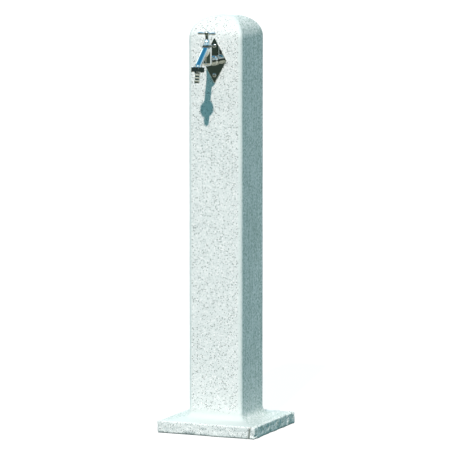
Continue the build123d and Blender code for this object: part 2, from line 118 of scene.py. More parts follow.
@dataclass
class Patch:
    """A grid of points, row by row along a profile and column by column around it.

    Attributes:
        points: array of rows x columns x 3, in millimetres.
        start_pole: the first row is one point on the axis.
        end_pole: the last row is one point on the axis.
        ring: the last row joins the first, as round a washer's section.
    """

    points: Array
    start_pole: bool = False
    end_pole: bool = False
    ring: bool = False

    def numbering(self) -> tuple[Array, Array]:
        """Number the points, with one point for a whole row at a pole.

        Returns:
            The flat places of the points that are kept, and each grid place's number.
        """
        rows, columns, _ = self.points.shape
        index = np.arange(rows * columns).reshape(rows, columns)
        if self.start_pole:
            index[0, :] = index[0, 0]
        if self.end_pole:
            index[-1, :] = index[-1, 0]
        kept = np.unique(index)
        return kept, np.searchsorted(kept, index)

    def arrays(self) -> tuple[Array, list[list[int]]]:
        """Vertices and faces of the patch, closed around and at its poles.

        Returns:
            The vertices as an array of n x 3, and the faces as lists of indices.
        """
        columns = self.points.shape[1]
        kept, index = self.numbering()
        if self.ring:
            index = np.vstack((index, index[:1]))
        right = np.roll(index, -1, axis=1)
        quads = np.stack((index[:-1], right[:-1], right[1:], index[1:]), axis=-1).reshape(-1, 4)
        first_fan = columns if self.start_pole else 0
        last_fan = len(quads) - columns if self.end_pole else len(quads)
        faces = quads[:first_fan, [0, 2, 3]].tolist()
        faces += quads[first_fan:last_fan].tolist()
        faces += quads[last_fan:, [0, 1, 2]].tolist()
        return self.points.reshape(-1, 3)[kept], faces


def signed_volume(points: Array, faces: list[list[int]]) -> float:
    """Volume inside a closed mesh, negative if its faces point inwards.

    Each face is split into a fan of triangles, and each triangle adds a sixth of the triple
    product of its corners.

    Args:
        points: vertices, n x 3.
        faces: lists of vertex indices.

    Returns:
        The signed volume.
    """
    triangles = np.array([face[:3] for face in faces])
    second = np.array([(face[0], face[2], face[3]) for face in faces if len(face) == 4])
    if len(second):
        triangles = np.vstack((triangles, second))
    a, b, c = (points[triangles[:, k]] for k in range(3))
    return float(np.einsum("ij,ij->", a, np.cross(b, c))) / 6


def object_of(name: str, points: Array, faces: list[list[int]], crease: float) -> bpy.types.Object:
    """A smooth-shaded object at the origin, with its place in its mesh.

    Args:
        name: the piece's name.
        points: vertices in millimetres, n x 3.
        faces: lists of vertex indices.
        crease: edges that turn more than this many degrees shade sharp.

    Returns:
        The new object.
    """
    mesh = bpy.data.meshes.new(name)
    mesh.from_pydata(points * MM, [], faces)
    mesh.validate()
    mesh.shade_smooth()
    mesh.set_sharp_from_angle(angle=math.radians(crease))
    piece = bpy.data.objects.new(name, mesh)
    bpy.context.scene.collection.objects.link(piece)
    return piece


def mesh_of(name: str, patches: list[Patch], crease: float = 40.0) -> bpy.types.Object:
    """One object of several closed patches, each turned to face outwards.

    Args:
        name: the piece's name.
        patches: closed patches, in millimetres.
        crease: edges that turn more than this many degrees shade sharp.

    Returns:
        The new object.
    """
    all_points: list[Array] = []
    all_faces: list[list[int]] = []
    count = 0
    for patch in patches:
        points, faces = patch.arrays()
        if signed_volume(points, faces) < 0:
            faces = [face[::-1] for face in faces]
        all_faces += [[corner + count for corner in face] for face in faces]
        all_points.append(points)
        count += len(points)
    return object_of(name, np.vstack(all_points), all_faces, crease)


def rounded_profile(corners: list[tuple[float, float, float]], steps: int = 6) -> Array:
    """A profile of straight runs with its corners rounded.

    Each corner is replaced by an arc tangent to its two runs: the tangent points lie at the
    radius times the tangent of half the turn from the corner.

    Args:
        corners: (radius from the axis, distance along it, rounding) of each corner.
        steps: spans in each rounded corner.

    Returns:
        Array of n x 2 points.
    """
    points = np.array([corner[:2] for corner in corners], float)
    out = []
    for place, corner in enumerate(points):
        rounding = corners[place][2]
        if rounding <= 0 or place in (0, len(points) - 1):
            out.append(corner)
            continue
        before, after = points[place - 1] - corner, points[place + 1] - corner
        before_length, after_length = np.linalg.norm(before), np.linalg.norm(after)
        before, after = before / before_length, after / after_length
        if before @ after < -STRAIGHT:
            out.append(corner)
            continue
        half = math.acos(float(before @ after)) / 2
        reach = min(rounding / math.tan(half), 0.49 * before_length, 0.49 * after_length)
        radius = reach * math.tan(half)
        middle = (before + after) / np.linalg.norm(before + after)
        centre = corner + middle * radius / math.sin(half)
        start, end = corner + before * reach - centre, corner + after * reach - centre
        turn = math.atan2(start[0] * end[1] - start[1] * end[0], float(start @ end))
        angles = np.linspace(0, turn, steps + 1)
        cos, sin = np.cos(angles), np.sin(angles)
        arc = np.stack((start[0] * cos - start[1] * sin, start[0] * sin + start[1] * cos), axis=1)
        out.extend(centre + arc)
    return np.array(out)


def split_runs(profile: Array, longest: float) -> Array:
    """The same profile with no span longer than a limit, for an even mesh.

    Args:
        profile: points, n x 2.
        longest: the limit.

    Returns:
        The points with evenly spaced ones added between them.
    """
    out = [profile[:1]]
    for start, end in zip(profile[:-1], profile[1:]):
        spans = max(1, math.ceil(float(np.linalg.norm(end - start)) / longest))
        out.append(start + (end - start) * (np.arange(1, spans + 1) / spans)[:, None])
    return np.vstack(out)


def axes_of(direction: Array) -> tuple[Array, Array, Array]:
    """Unit axes of a piece whose axis lies in the YZ plane.

    Args:
        direction: the piece's axis.

    Returns:
        X, the direction at right angles to X and the axis, and the axis.
    """
    along = np.asarray(direction, float) / np.linalg.norm(direction)
    across = np.array((1.0, 0.0, 0.0))
    return across, np.cross(along, across), along


def lathe(
    profile: Array, origin: Array, direction: Array = UP, segments: int = 72,
    flats: Union[float, Array] = np.inf,
) -> Patch:
    """A profile turned about an axis, and cut by a hexagon if it has flats.

    At the angle t a point is at r(t) = min(profile radius, (flats / 2) / cos(t')), where t' is
    the angle from the nearest flat's middle, so a bevel on the turned bar leaves the curved
    edges that a real nut has.

    Args:
        profile: (radius, distance along the axis) points, n x 2.
        origin: where the axis starts.
        direction: the axis.
        segments: columns around it.
        flats: width across the hexagon's flats, for all rows or for each.

    Returns:
        A patch whose ends on the axis are poles, and which is a ring if it has none.
    """
    across, over, along = axes_of(direction)
    turn = np.arange(segments) * 2 * math.pi / segments
    from_flat = turn % (math.pi / 3) - math.pi / 6
    width = np.broadcast_to(flats, len(profile))[:, None]
    radius = np.minimum(profile[:, :1], width / 2 / np.cos(from_flat))
    points = (
        np.asarray(origin, float)
        + radius[..., None] * (np.cos(turn)[:, None] * across + np.sin(turn)[:, None] * over)
        + profile[:, 1, None, None] * along
    )
    start_pole, end_pole = bool(profile[0, 0] < 1e-9), bool(profile[-1, 0] < 1e-9)
    return Patch(points, start_pole, end_pole, ring=not (start_pole or end_pole))


def waves(points: Array, wavelength: float, seed: int, count: int = 14) -> Array:
    """Smooth noise between about -1 and 1: the mean of plane waves with random directions.

    Args:
        points: array of ... x 3, in millimetres.
        wavelength: mean length of a wave.
        seed: seed of the random directions and phases.
        count: number of waves.

    Returns:
        Array of the leading shape of points.
    """
    random = np.random.default_rng(seed)
    directions = random.normal(size=(count, 3))
    directions /= np.linalg.norm(directions, axis=1)[:, None]
    lengths = wavelength * random.uniform(0.7, 1.4, count)
    phases = random.uniform(0, 2 * math.pi, count)
    total = np.cos(points @ (directions / lengths[:, None]).T * 2 * math.pi + phases).sum(axis=-1)
    return total / math.sqrt(count) / 1.2


def smooth_step(low: float, high: float, value: Array) -> Array:
    """0 below low, 1 above high, and 3t^2 - 2t^3 between them."""
    t = np.clip((value - low) / (high - low), 0, 1)
    return t * t * (3 - 2 * t)


# ---------------------------------------------------------------- distance fields


def rod_field(
    points: Array, start: Array, axis: Array, radius: Union[float, Array], length: float,
    start_r: float = 0.3, end_r: float = 0.3,
) -> Array:
    """Distance to a round bar.

    With a = distance along the axis and o = distance off it, the field is the distance to the
    rectangle |a - length / 2| <= length / 2, o <= radius, whose two corners are rounded.

    Args:
        points: array of ... x 3.
        start: centre of the bar's first end.
        axis: unit vector to its other end.
        radius: its radius, which may change from point to point.
        length: its length.
        start_r: rounding of the first end.
        end_r: rounding of the other end.

    Returns:
        Signed distances, negative inside.
    """
    from_start = points - start
    along = from_start @ axis
    off = np.linalg.norm(from_start - along[..., None] * axis, axis=-1)
    rounding = np.where(along < length / 2, start_r, end_r)
    side = off - radius + rounding
    end = np.abs(along - length / 2) - length / 2 + rounding
    outside = np.hypot(np.clip(side, 0, None), np.clip(end, 0, None))
    return np.minimum(np.maximum(side, end), 0) + outside - rounding


def box_field(points: Array, centre: Array, half: Array, rounding: float) -> Array:
    """Distance to a box with round edges.

    Args:
        points: array of ... x 3.
        centre: the box's centre.
        half: half sizes, which may change from point to point.
        rounding: radius of its edges.

    Returns:
        Signed distances, negative inside.
    """
    gap = np.abs(points - centre) - half + rounding
    inside = np.minimum(gap.max(axis=-1), 0)
    return inside + np.linalg.norm(np.clip(gap, 0, None), axis=-1) - rounding


def path_field(points: Array, path: Array, radius: float) -> Array:
    """Distance to a round bar along a path in the YZ plane.

    The distance in the plane to the nearest of the path's straight spans is joined with the
    distance from the plane.

    Args:
        points: array of ... x 3.
        path: (y, z) points of the centreline.
        radius: the bar's radius.

    Returns:
        Signed distances, negative inside.
    """
    nearest = np.full(points.shape[:-1], np.inf)
    for start, end in zip(path[:-1], path[1:]):
        run = end - start
        off = points[..., 1:] - start
        share = np.clip(off @ run / (run @ run), 0, 1)
        nearest = np.minimum(nearest, np.linalg.norm(off - share[..., None] * run, axis=-1))
    return np.hypot(nearest, points[..., 0]) - radius


def join(first: Array, second: Array, fillet: float) -> Array:
    """Union of two fields with a fillet: the polynomial smooth minimum of that reach."""
    share = np.clip(0.5 + 0.5 * (second - first) / fillet, 0, 1)
    return second * (1 - share) + first * share - fillet * share * (1 - share)


Field = Callable[[Array], Array]
THROUGH = 60.0                           # length of a bore that runs out of its piece


def surface_net(field: Field, low: Array, high: Array, step: float) -> tuple[Array, Array]:
    """Mesh a field's zero surface over a box.

    Each cell of the grid that the surface crosses gets one point, the mean of the crossings
    on its edges, and each crossed edge gets a quad of its four cells. Then each point moves
    onto the surface by the distance there along the field's gradient.

    Args:
        field: gives signed distances at points.
        low: lowest corner of the box, clear of the surface.
        high: its highest corner.
        step: size of a cell.

    Returns:
        Points of n x 3, and quads of m x 4 that face outwards.
    """
    ranges = [np.arange(start, end + step, step) for start, end in zip(low, high)]
    distance = field(np.stack(np.meshgrid(*ranges, indexing="ij"), axis=-1))
    cells = tuple(size - 1 for size in distance.shape)
    total, count = np.zeros(cells + (3,)), np.zeros(cells)
    crossings = []
    for axis in range(3):
        ends = np.moveaxis(distance, axis, 0)
        near, far = np.moveaxis(ends[:-1], 0, axis), np.moveaxis(ends[1:], 0, axis)
        crossed = (near < 0) != (far < 0)
        edge = np.argwhere(crossed)
        point = edge.astype(float)
        point[:, axis] += near[crossed] / (near[crossed] - far[crossed])
        first, second = (np.eye(3, dtype=int)[k] for k in range(3) if k != axis)
        around = [edge, edge - first, edge - first - second, edge - second]
        for cell in around:
            place = tuple(cell.T)
            total[place] += point
            count[place] += 1
        outward = (near[crossed] < 0) != (axis == 1)
        crossings.append((around, outward))
    used = count > 0
    number = np.full(cells, -1)
    number[used] = np.arange(used.sum())
    quads = []
    for around, outward in crossings:
        quad = np.stack([number[tuple(cell.T)] for cell in around], axis=1)
        quads.append(np.where(outward[:, None], quad, quad[:, ::-1]))
    points = low + step * total[used] / count[used][:, None]
    nudge, rounds, relax = 0.02, 3, 0.8
    for _ in range(rounds):
        gradient = np.stack(
            [field(points + nudge * unit) - field(points - nudge * unit) for unit in np.eye(3)], axis=-1)
        gradient /= np.linalg.norm(gradient, axis=-1)[:, None] + 1e-9
        points = points - relax * np.clip(field(points), -step, step)[:, None] * gradient
    return points, np.concatenate(quads)


def mesh_of_field(name: str, field: Field, low: Array, high: Array, step: float) -> bpy.types.Object:
    """One smooth object from a distance field.

    Args:
        name: the piece's name.
        field: gives signed distances at points.
        low: lowest corner of the piece.
        high: its highest corner.
        step: size of a cell; the grid reaches a few cells past the corners.

    Returns:
        The new object.
    """
    margin = NET_MARGIN * step
    points, quads = surface_net(field, low - margin, high + margin, step)
    return object_of(name, points, quads.tolist(), NET_CREASE)


# ---------------------------------------------------------------- finishes


def linear(hex_colour: str, alpha: float = 1.0) -> tuple[float, float, float, float]:
    """An sRGB hex colour as Blender's linear values.

    Args:
        hex_colour: six hex digits.
        alpha: the fourth value.

    Returns:
        Linear red, green and blue, and alpha.
    """
    channels = [int(hex_colour[place:place + 2], 16) / 255 for place in (0, 2, 4)]
    values = [c / 12.92 if c <= 0.04045 else ((c + 0.055) / 1.055) ** 2.4 for c in channels]
    return values[0], values[1], values[2], alpha


def per_metre(size: float) -> float:
    """A texture's scale on Object coordinates for a feature of that size in millimetres."""
    return 1 / (size * MM)


Value = Union[float, tuple, bpy.types.NodeSocket]


def add_node(
    tree: bpy.types.NodeTree,
    kind: str,
    inputs: Optional[dict[Union[int, str], Value]] = None,
    stops: tuple[tuple[float, Value], ...] = (),
    **settings: object,
) -> bpy.types.Node:
    """Add a node with its settings, input values and links.

    Args:
        tree: the node tree.
        kind: the node's type name.
        inputs: input name or number to a value, or to the socket that feeds it.
        stops: a colour ramp's (position, colour) stops.
        **settings: the node's own properties.

    Returns:
        The node.
    """
    node = tree.nodes.new(kind)
    for name, value in settings.items():
        setattr(node, name, value)
    for key, value in (inputs or {}).items():
        if isinstance(value, bpy.types.NodeSocket):
            tree.links.new(value, node.inputs[key])
        else:
            node.inputs[key].default_value = value
    for place, (position, colour) in enumerate(stops):
        elements = node.color_ramp.elements
        element = elements[place] if place < 2 else elements.new(position)
        element.position = position
        element.color = colour
    return node


def new_material(name: str) -> tuple[bpy.types.Material, bpy.types.NodeTree, bpy.types.NodeSocket]:
    """An empty material.

    Args:
        name: the material's name.

    Returns:
        The material, its node tree and its Object coordinate socket.
    """
    material = bpy.data.materials.new(name)
    material.use_nodes = True
    tree = material.node_tree
    tree.nodes.clear()
    place = add_node(tree, "ShaderNodeTexCoord").outputs["Object"]
    return material, tree, place


def close_material(tree: bpy.types.NodeTree, shader: bpy.types.Node) -> None:
    """Link the shader to the material's surface."""
    add_node(tree, "ShaderNodeOutputMaterial", {"Surface": shader.outputs[0]})


@dataclass(frozen=True)
class Fleck:
    """One colour of granule in the shell, drawn as cells of a Voronoi pattern.

    Attributes:
        size: width of a cell in millimetres, a little coarser than the real granules so that
            they show from some metres away.
        colour: sRGB hex colour.
        empty: share of the cells that hold no granule.
        reach: radius of a granule as a share of its cell.
        strength: how much of the matrix it covers.
    """

    size: float
    colour: str
    empty: float
    reach: float
    strength: float


@dataclass(frozen=True)
class GraniteShell:
    """Rotationally moulded polyethylene with a granite look.

    Dark and white granules are fused into a pale matrix while the powder melts against the
    mould, so the flecks lie flush in a matt, slightly pitted skin. The flare and the foot's top
    show few flecks, and a greyer tint on them is painted shade that keeps them from clipping to
    white. The mould's parting line is scraped pale, and the post's rounded corners carry a
    painted highlight. Water leaves streaks and blots on the sides, and the pale blots also lift
    the shaded faces as painted light. The rim's notches and its lower edge are darkened as
    painted shade. Sizes are in millimetres.
    """

    matrix: str = "F0F3F3"
    matrix_shade: str = "E0E5E5"
    # Greyer tint: painted shade on the flare, the foot's top and the post's corners.
    greyer_skin_painted_shade: str = "CFD8D7"
    # Scraped parting line; also the painted highlight on the post's rounded corners.
    scraped_and_highlight: str = "EEF6F5"
    # Pale blots on the sides, which also lift the shaded faces: partly painted light.
    pale_blot_and_painted_light: str = "FFFFFF"
    streak: str = "9FB2A8"
    # Painted shade for the rim's notches and its lower edge.
    painted_crevice_shade: str = "4C5A52"
    flecks: tuple[Fleck, ...] = (
        Fleck(2.8, "B0B9B8", 0.52, 0.42, 0.9),
        Fleck(3.6, "FFFFFF", 0.62, 0.50, 1.0),
        Fleck(3.4, "626C6B", 0.68, 0.42, 0.9),
    )
    cloud_size: float = 60.0
    streak_width: float = 5.0
    streak_stretch: float = 0.035
    mottle_size: float = 5.0
    grain_size: float = 1.1
    roughness: float = 0.62
    pit_depth: float = 0.25

    def material(self) -> bpy.types.Material:
        """Build the material.

        Returns:
            The material, which reads the mesh's mask attribute: red is where the skin is scraped
            pale, with a painted highlight on the post's rounded corners, green is painted shade in
            the rim's notches and along its lower edge, blue is where the skin has few flecks and a
            greyer tint of painted shade, and alpha is the sides, where water has left streaks and
            where pale blots also lift the shaded faces as painted light.
        """
        material, tree, place = new_material("rotomoulded_granite_polyethylene")
        moulding_and_painted_light = add_node(tree, "ShaderNodeAttribute", attribute_name="moulding_and_painted_light")
        masks = add_node(tree, "ShaderNodeSeparateColor", {"Color": moulding_and_painted_light.outputs["Color"]})
        side = moulding_and_painted_light.outputs["Alpha"]
        cloud = add_node(tree, "ShaderNodeTexNoise", {
            "Vector": place, "Scale": per_metre(self.cloud_size), "Detail": 3.0})
        colour = add_node(tree, "ShaderNodeMix", {
            "Factor": cloud.outputs["Fac"], "A": linear(self.matrix_shade), "B": linear(self.matrix)},
            data_type="RGBA").outputs["Result"]
        layers = self.fleck_layers(tree, place, masks.outputs["Blue"])
        # Painted shade: a greyer tint on the flare, the foot's top and the post's corners.
        layers.append((masks.outputs["Blue"], 0.85, self.greyer_skin_painted_shade))
        # On the sides: pale blots that also lift the shaded faces as painted light, and darker blots.
        mottle = add_node(tree, "ShaderNodeTexNoise", {
            "Vector": place, "Scale": per_metre(self.mottle_size), "Detail": 3.0, "Roughness": 0.6})
        for full, blot in ((0.36, self.pale_blot_and_painted_light), (0.68, self.streak)):
            spread = add_node(tree, "ShaderNodeMapRange", {
                "Value": mottle.outputs["Fac"], "From Min": 0.5, "From Max": full, "To Max": 0.95})
            layers.append((spread.outputs["Result"], side, blot))
        # The scraped parting line, and the painted highlight on the post's rounded corners.
        layers.append((masks.outputs["Red"], 0.75, self.scraped_and_highlight))
        drawn = add_node(tree, "ShaderNodeMapping", {
            "Vector": place, "Scale": (1.0, 1.0, self.streak_stretch)})
        streaks = add_node(tree, "ShaderNodeTexNoise", {
            "Vector": drawn.outputs[0], "Scale": per_metre(self.streak_width), "Detail": 3.0})
        run = add_node(tree, "ShaderNodeMapRange", {
            "Value": streaks.outputs["Fac"], "From Min": 0.46, "From Max": 0.72, "To Max": 0.5})
        layers.append((run.outputs["Result"], side, self.streak))
        # Painted shade in the rim's notches and along its lower edge.
        layers.append((masks.outputs["Green"], 0.8, self.painted_crevice_shade))
        for mask, strength, tint in layers:
            factor = add_node(tree, "ShaderNodeMath", {0: mask, 1: strength}, operation="MULTIPLY")
            colour = add_node(tree, "ShaderNodeMix", {
                "Factor": factor.outputs[0], "A": colour, "B": linear(tint)},
                data_type="RGBA").outputs["Result"]
        pits = add_node(tree, "ShaderNodeTexNoise", {
            "Vector": place, "Scale": per_metre(self.grain_size), "Detail": 3.0, "Roughness": 0.6})
        gloss = add_node(tree, "ShaderNodeMapRange", {
            "Value": pits.outputs["Fac"], "To Min": self.roughness - 0.1, "To Max": self.roughness + 0.12})
        bump = add_node(tree, "ShaderNodeBump", {
            "Height": pits.outputs["Fac"], "Strength": 0.35, "Distance": self.pit_depth * MM})
        close_material(tree, add_node(tree, "ShaderNodeBsdfPrincipled", {
            "Base Color": colour, "Roughness": gloss.outputs["Result"], "IOR": 1.51,
            "Normal": bump.outputs["Normal"]}))
        return material

    def fleck_layers(
        self, tree: bpy.types.NodeTree, place: bpy.types.NodeSocket, smooth: bpy.types.NodeSocket
    ) -> list[tuple[bpy.types.NodeSocket, Value, str]]:
        """Masks of the flecks, with their outlines bent by fine noise.

        Args:
            tree: the material's node tree.
            place: Object coordinates.
            smooth: where the skin has few flecks.

        Returns:
            For each colour, the cells that hold a fleck, the fleck's shape and its colour.
        """
        wobble = add_node(tree, "ShaderNodeTexNoise", {
            "Vector": place, "Scale": per_metre(self.grain_size * 2), "Detail": 2.0})
        shift = add_node(tree, "ShaderNodeVectorMath", {
            0: wobble.outputs["Color"], "Scale": self.grain_size * MM * 1.6}, operation="SCALE")
        bent = add_node(tree, "ShaderNodeVectorMath", {
            0: place, 1: shift.outputs[0]}, operation="ADD").outputs[0]
        layers = []
        for fleck in self.flecks:
            cell = fleck.size * MM
            offset = add_node(tree, "ShaderNodeVectorMath", {
                0: bent, 1: (cell * 17, cell * 5, cell * 11)}, operation="ADD")
            cells = add_node(tree, "ShaderNodeTexVoronoi", {
                "Vector": offset.outputs[0], "Scale": per_metre(fleck.size), "Randomness": 1.0})
            chosen = add_node(tree, "ShaderNodeSeparateColor", {"Color": cells.outputs["Color"]})
            floor = add_node(tree, "ShaderNodeMath", {
                0: smooth, 1: 1 - fleck.empty, 2: fleck.empty}, operation="MULTIPLY_ADD", use_clamp=True)
            kept = add_node(tree, "ShaderNodeMath", {
                0: chosen.outputs["Red"], 1: floor.outputs[0]}, operation="GREATER_THAN")
            spot = add_node(tree, "ShaderNodeMapRange", {
                "Value": cells.outputs["Distance"], "From Min": fleck.reach,
                "From Max": fleck.reach * 0.7, "To Max": fleck.strength})
            layers.append((kept.outputs[0], spot.outputs["Result"], fleck.colour))
        return layers


@dataclass(frozen=True)
class BrightMetal:
    """A polished, plated or ground metal.

    Its colour varies little, and fine polishing marks and thin water film vary its gloss. The
    slow waviness of a cast or rolled surface bends the reflections.
    """

    name: str
    colour: str
    shade: str
    roughness: float
    roughness_spread: float
    wave_size: float
    wave_depth: float
    mark_size: float
    marks_along: tuple[float, float, float] = (1.0, 1.0, 1.0)

    def material(self) -> bpy.types.Material:
        """Build the material."""
        material, tree, place = new_material(self.name)
        drawn = add_node(tree, "ShaderNodeMapping", {"Vector": place, "Scale": self.marks_along})
        marks = add_node(tree, "ShaderNodeTexNoise", {
            "Vector": drawn.outputs[0], "Scale": per_metre(self.mark_size), "Detail": 4.0,
            "Roughness": 0.65})
        film = add_node(tree, "ShaderNodeTexNoise", {
            "Vector": place, "Scale": per_metre(self.wave_size * 2), "Detail": 3.0})
        colour = add_node(tree, "ShaderNodeMix", {
            "Factor": film.outputs["Fac"], "A": linear(self.colour), "B": linear(self.shade)},
            data_type="RGBA")
        gloss = add_node(tree, "ShaderNodeMapRange", {
            "Value": marks.outputs["Fac"], "From Min": 0.3, "From Max": 0.75,
            "To Min": max(0.02, self.roughness - self.roughness_spread),
            "To Max": self.roughness + self.roughness_spread})
        swell = add_node(tree, "ShaderNodeTexNoise", {
            "Vector": place, "Scale": per_metre(self.wave_size), "Detail": 1.0})
        bump = add_node(tree, "ShaderNodeBump", {
            "Height": swell.outputs["Fac"], "Strength": 1.0, "Distance": self.wave_depth * MM})
        close_material(tree, add_node(tree, "ShaderNodeBsdfPrincipled", {
            "Base Color": colour.outputs["Result"], "Metallic": 1.0,
            "Roughness": gloss.outputs["Result"], "Normal": bump.outputs["Normal"]}))
        return material


@dataclass(frozen=True)
class ZincCoat:
    """Hot-dip galvanised steel: frosty crystals, each with its own grey and gloss."""

    crystal_size: float = 7.0
    colour: str = "A9AEB0"
    shade: str = "82888B"

    def material(self) -> bpy.types.Material:
        """Build the material."""
        material, tree, place = new_material("hot_dip_galvanised_steel")
        crystals = add_node(tree, "ShaderNodeTexVoronoi", {
            "Vector": place, "Scale": per_metre(self.crystal_size), "Randomness": 1.0})
        tone = add_node(tree, "ShaderNodeSeparateColor", {"Color": crystals.outputs["Color"]})
        dust = add_node(tree, "ShaderNodeTexNoise", {
            "Vector": place, "Scale": per_metre(0.9), "Detail": 3.0})
        mix = add_node(tree, "ShaderNodeMath", {
            0: tone.outputs["Red"], 1: dust.outputs["Fac"]}, operation="MULTIPLY")
        colour = add_node(tree, "ShaderNodeMix", {
            "Factor": mix.outputs[0], "A": linear(self.colour), "B": linear(self.shade)},
            data_type="RGBA")
        gloss = add_node(tree, "ShaderNodeMapRange", {
            "Value": tone.outputs["Green"], "To Min": 0.34, "To Max": 0.52})
        close_material(tree, add_node(tree, "ShaderNodeBsdfPrincipled", {
            "Base Color": colour.outputs["Result"], "Metallic": 1.0,
            "Roughness": gloss.outputs["Result"]}))
        return material


@dataclass(frozen=True)
class SoftBlack:
    """Moulded black rubber or polypropylene: matt, with a fine mould grain."""

    name: str
    colour: str
    shade: str
    roughness: float
    grain_size: float
    grain_depth: float

    def material(self) -> bpy.types.Material:
        """Build the material."""
        material, tree, place = new_material(self.name)
        grain = add_node(tree, "ShaderNodeTexNoise", {
            "Vector": place, "Scale": per_metre(self.grain_size), "Detail": 3.0})
        bloom = add_node(tree, "ShaderNodeTexNoise", {
            "Vector": place, "Scale": per_metre(6.0), "Detail": 2.0})
        colour = add_node(tree, "ShaderNodeMix", {
            "Factor": bloom.outputs["Fac"], "A": linear(self.colour), "B": linear(self.shade)},
            data_type="RGBA")
        bump = add_node(tree, "ShaderNodeBump", {
            "Height": grain.outputs["Fac"], "Strength": 0.5, "Distance": self.grain_depth * MM})
        close_material(tree, add_node(tree, "ShaderNodeBsdfPrincipled", {
            "Base Color": colour.outputs["Result"], "Roughness": self.roughness,
            "Normal": bump.outputs["Normal"]}))
        return material


# Chrome over polished brass: a cold, near-perfect mirror with the casting's slow waves.
CHROME = BrightMetal("chromed_cast_brass", "DCE0E0", "CFD5D6", 0.06, 0.03, 9.0, 0.012, 0.5)
# Mirror-polished stainless sheet: flat, faintly warm, with hairlines from wiping.
MIRROR_SHEET = BrightMetal(
    "mirror_polished_stainless", "C9CCC8", "BDC2BE", 0.05, 0.03, 30.0, 0.02, 0.6, (8.0, 1.0, 1.0))
# Bright stainless screws: tumbled, so a little softer than the sheet.
SCREW_STEEL = BrightMetal("tumbled_stainless", "BFC2C1", "AEB2B2", 0.2, 0.06, 3.0, 0.01, 0.3)
# Machined brass: yellow, with fine turning marks and a light tarnish.
BRASS = BrightMetal("machined_brass", "C9A14B", "B1873A", 0.24, 0.08, 6.0, 0.01, 0.35, (1.0, 1.0, 6.0))
ZINC = ZincCoat()
# Rubber: matt and even, with a faint bloom. Polypropylene: a little glossier, finer grain.
RUBBER = SoftBlack("moulded_nitrile_rubber", "1B1C1C", "242524", 0.7, 0.5, 0.03)
CLIP_PLASTIC = SoftBlack("moulded_polypropylene", "202223", "191A1B", 0.45, 0.3, 0.02)


class Paintbox:
    """Builds each finish once and puts it on pieces and CAD nodes."""

    def __init__(self) -> None:
        """Make every material."""
        self.materials = {
            Slot.SHELL: GraniteShell().material(),
            Slot.ZINC: ZINC.material(),
            Slot.MIRROR: MIRROR_SHEET.material(),
            Slot.SCREW: SCREW_STEEL.material(),
            Slot.CHROME: CHROME.material(),
            Slot.BRASS: BRASS.material(),
            Slot.RUBBER: RUBBER.material(),
            Slot.CLIP: CLIP_PLASTIC.material(),
        }

    def dress(self, piece: bpy.types.Object, slot: Slot) -> None:
        """Give an object one finish in place of what it has."""
        piece.data.materials.clear()
        piece.data.materials.append(self.materials[slot])

    def dress_nodes(self) -> None:
        """Give every CAD node the finish of its slot in the record."""
        for part in frame["record"]["subparts"]:
            self.dress(frame["nodes"][part["node"]], Slot(part["material_slot"]))
            log.info("dressed CAD node %s", part["node"])

    def install(self, piece: bpy.types.Object, slot: Slot, body: Body, *nodes: str) -> None:
        """Dress a new piece, put it on its body and let it stand for CAD nodes.

        Args:
            piece: the new object.
            slot: its material slot.
            body: the body that it rides on.
            *nodes: the CAD nodes that it replaces.
        """
        self.dress(piece, slot)
        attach(piece, body.value)
        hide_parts(*nodes)
        log.info("built %s with %d faces", piece.name, len(piece.data.polygons))


# ---------------------------------------------------------------- the casing


@dataclass
class Skin:
    """The casing's outer form, as a grid of points.

    Attributes:
        points: array of rows x columns x 3.
        normals: outward normals in plan, rows x columns x 2.
        half: half width of the form at each point.
    """

    points: Array
    normals: Array
    half: Array

    def __post_init__(self) -> None:
        """Work out the height, the distance along the side and which points are on flats."""
        self.z = self.points[..., 2]
        self.along = self.points[..., 1] * self.normals[..., 0] - self.points[..., 0] * self.normals[..., 1]
        self.on_flat = np.abs(self.normals).max(axis=-1) > 0.999

    def waves(self, height: float, wavelength: float, seed: int, stretch: float = 1.0) -> Array:
        """Noise of a height and wavelength; a stretch below 1 draws it out upwards."""
        return height * waves(self.points * (1, 1, stretch), wavelength, seed)


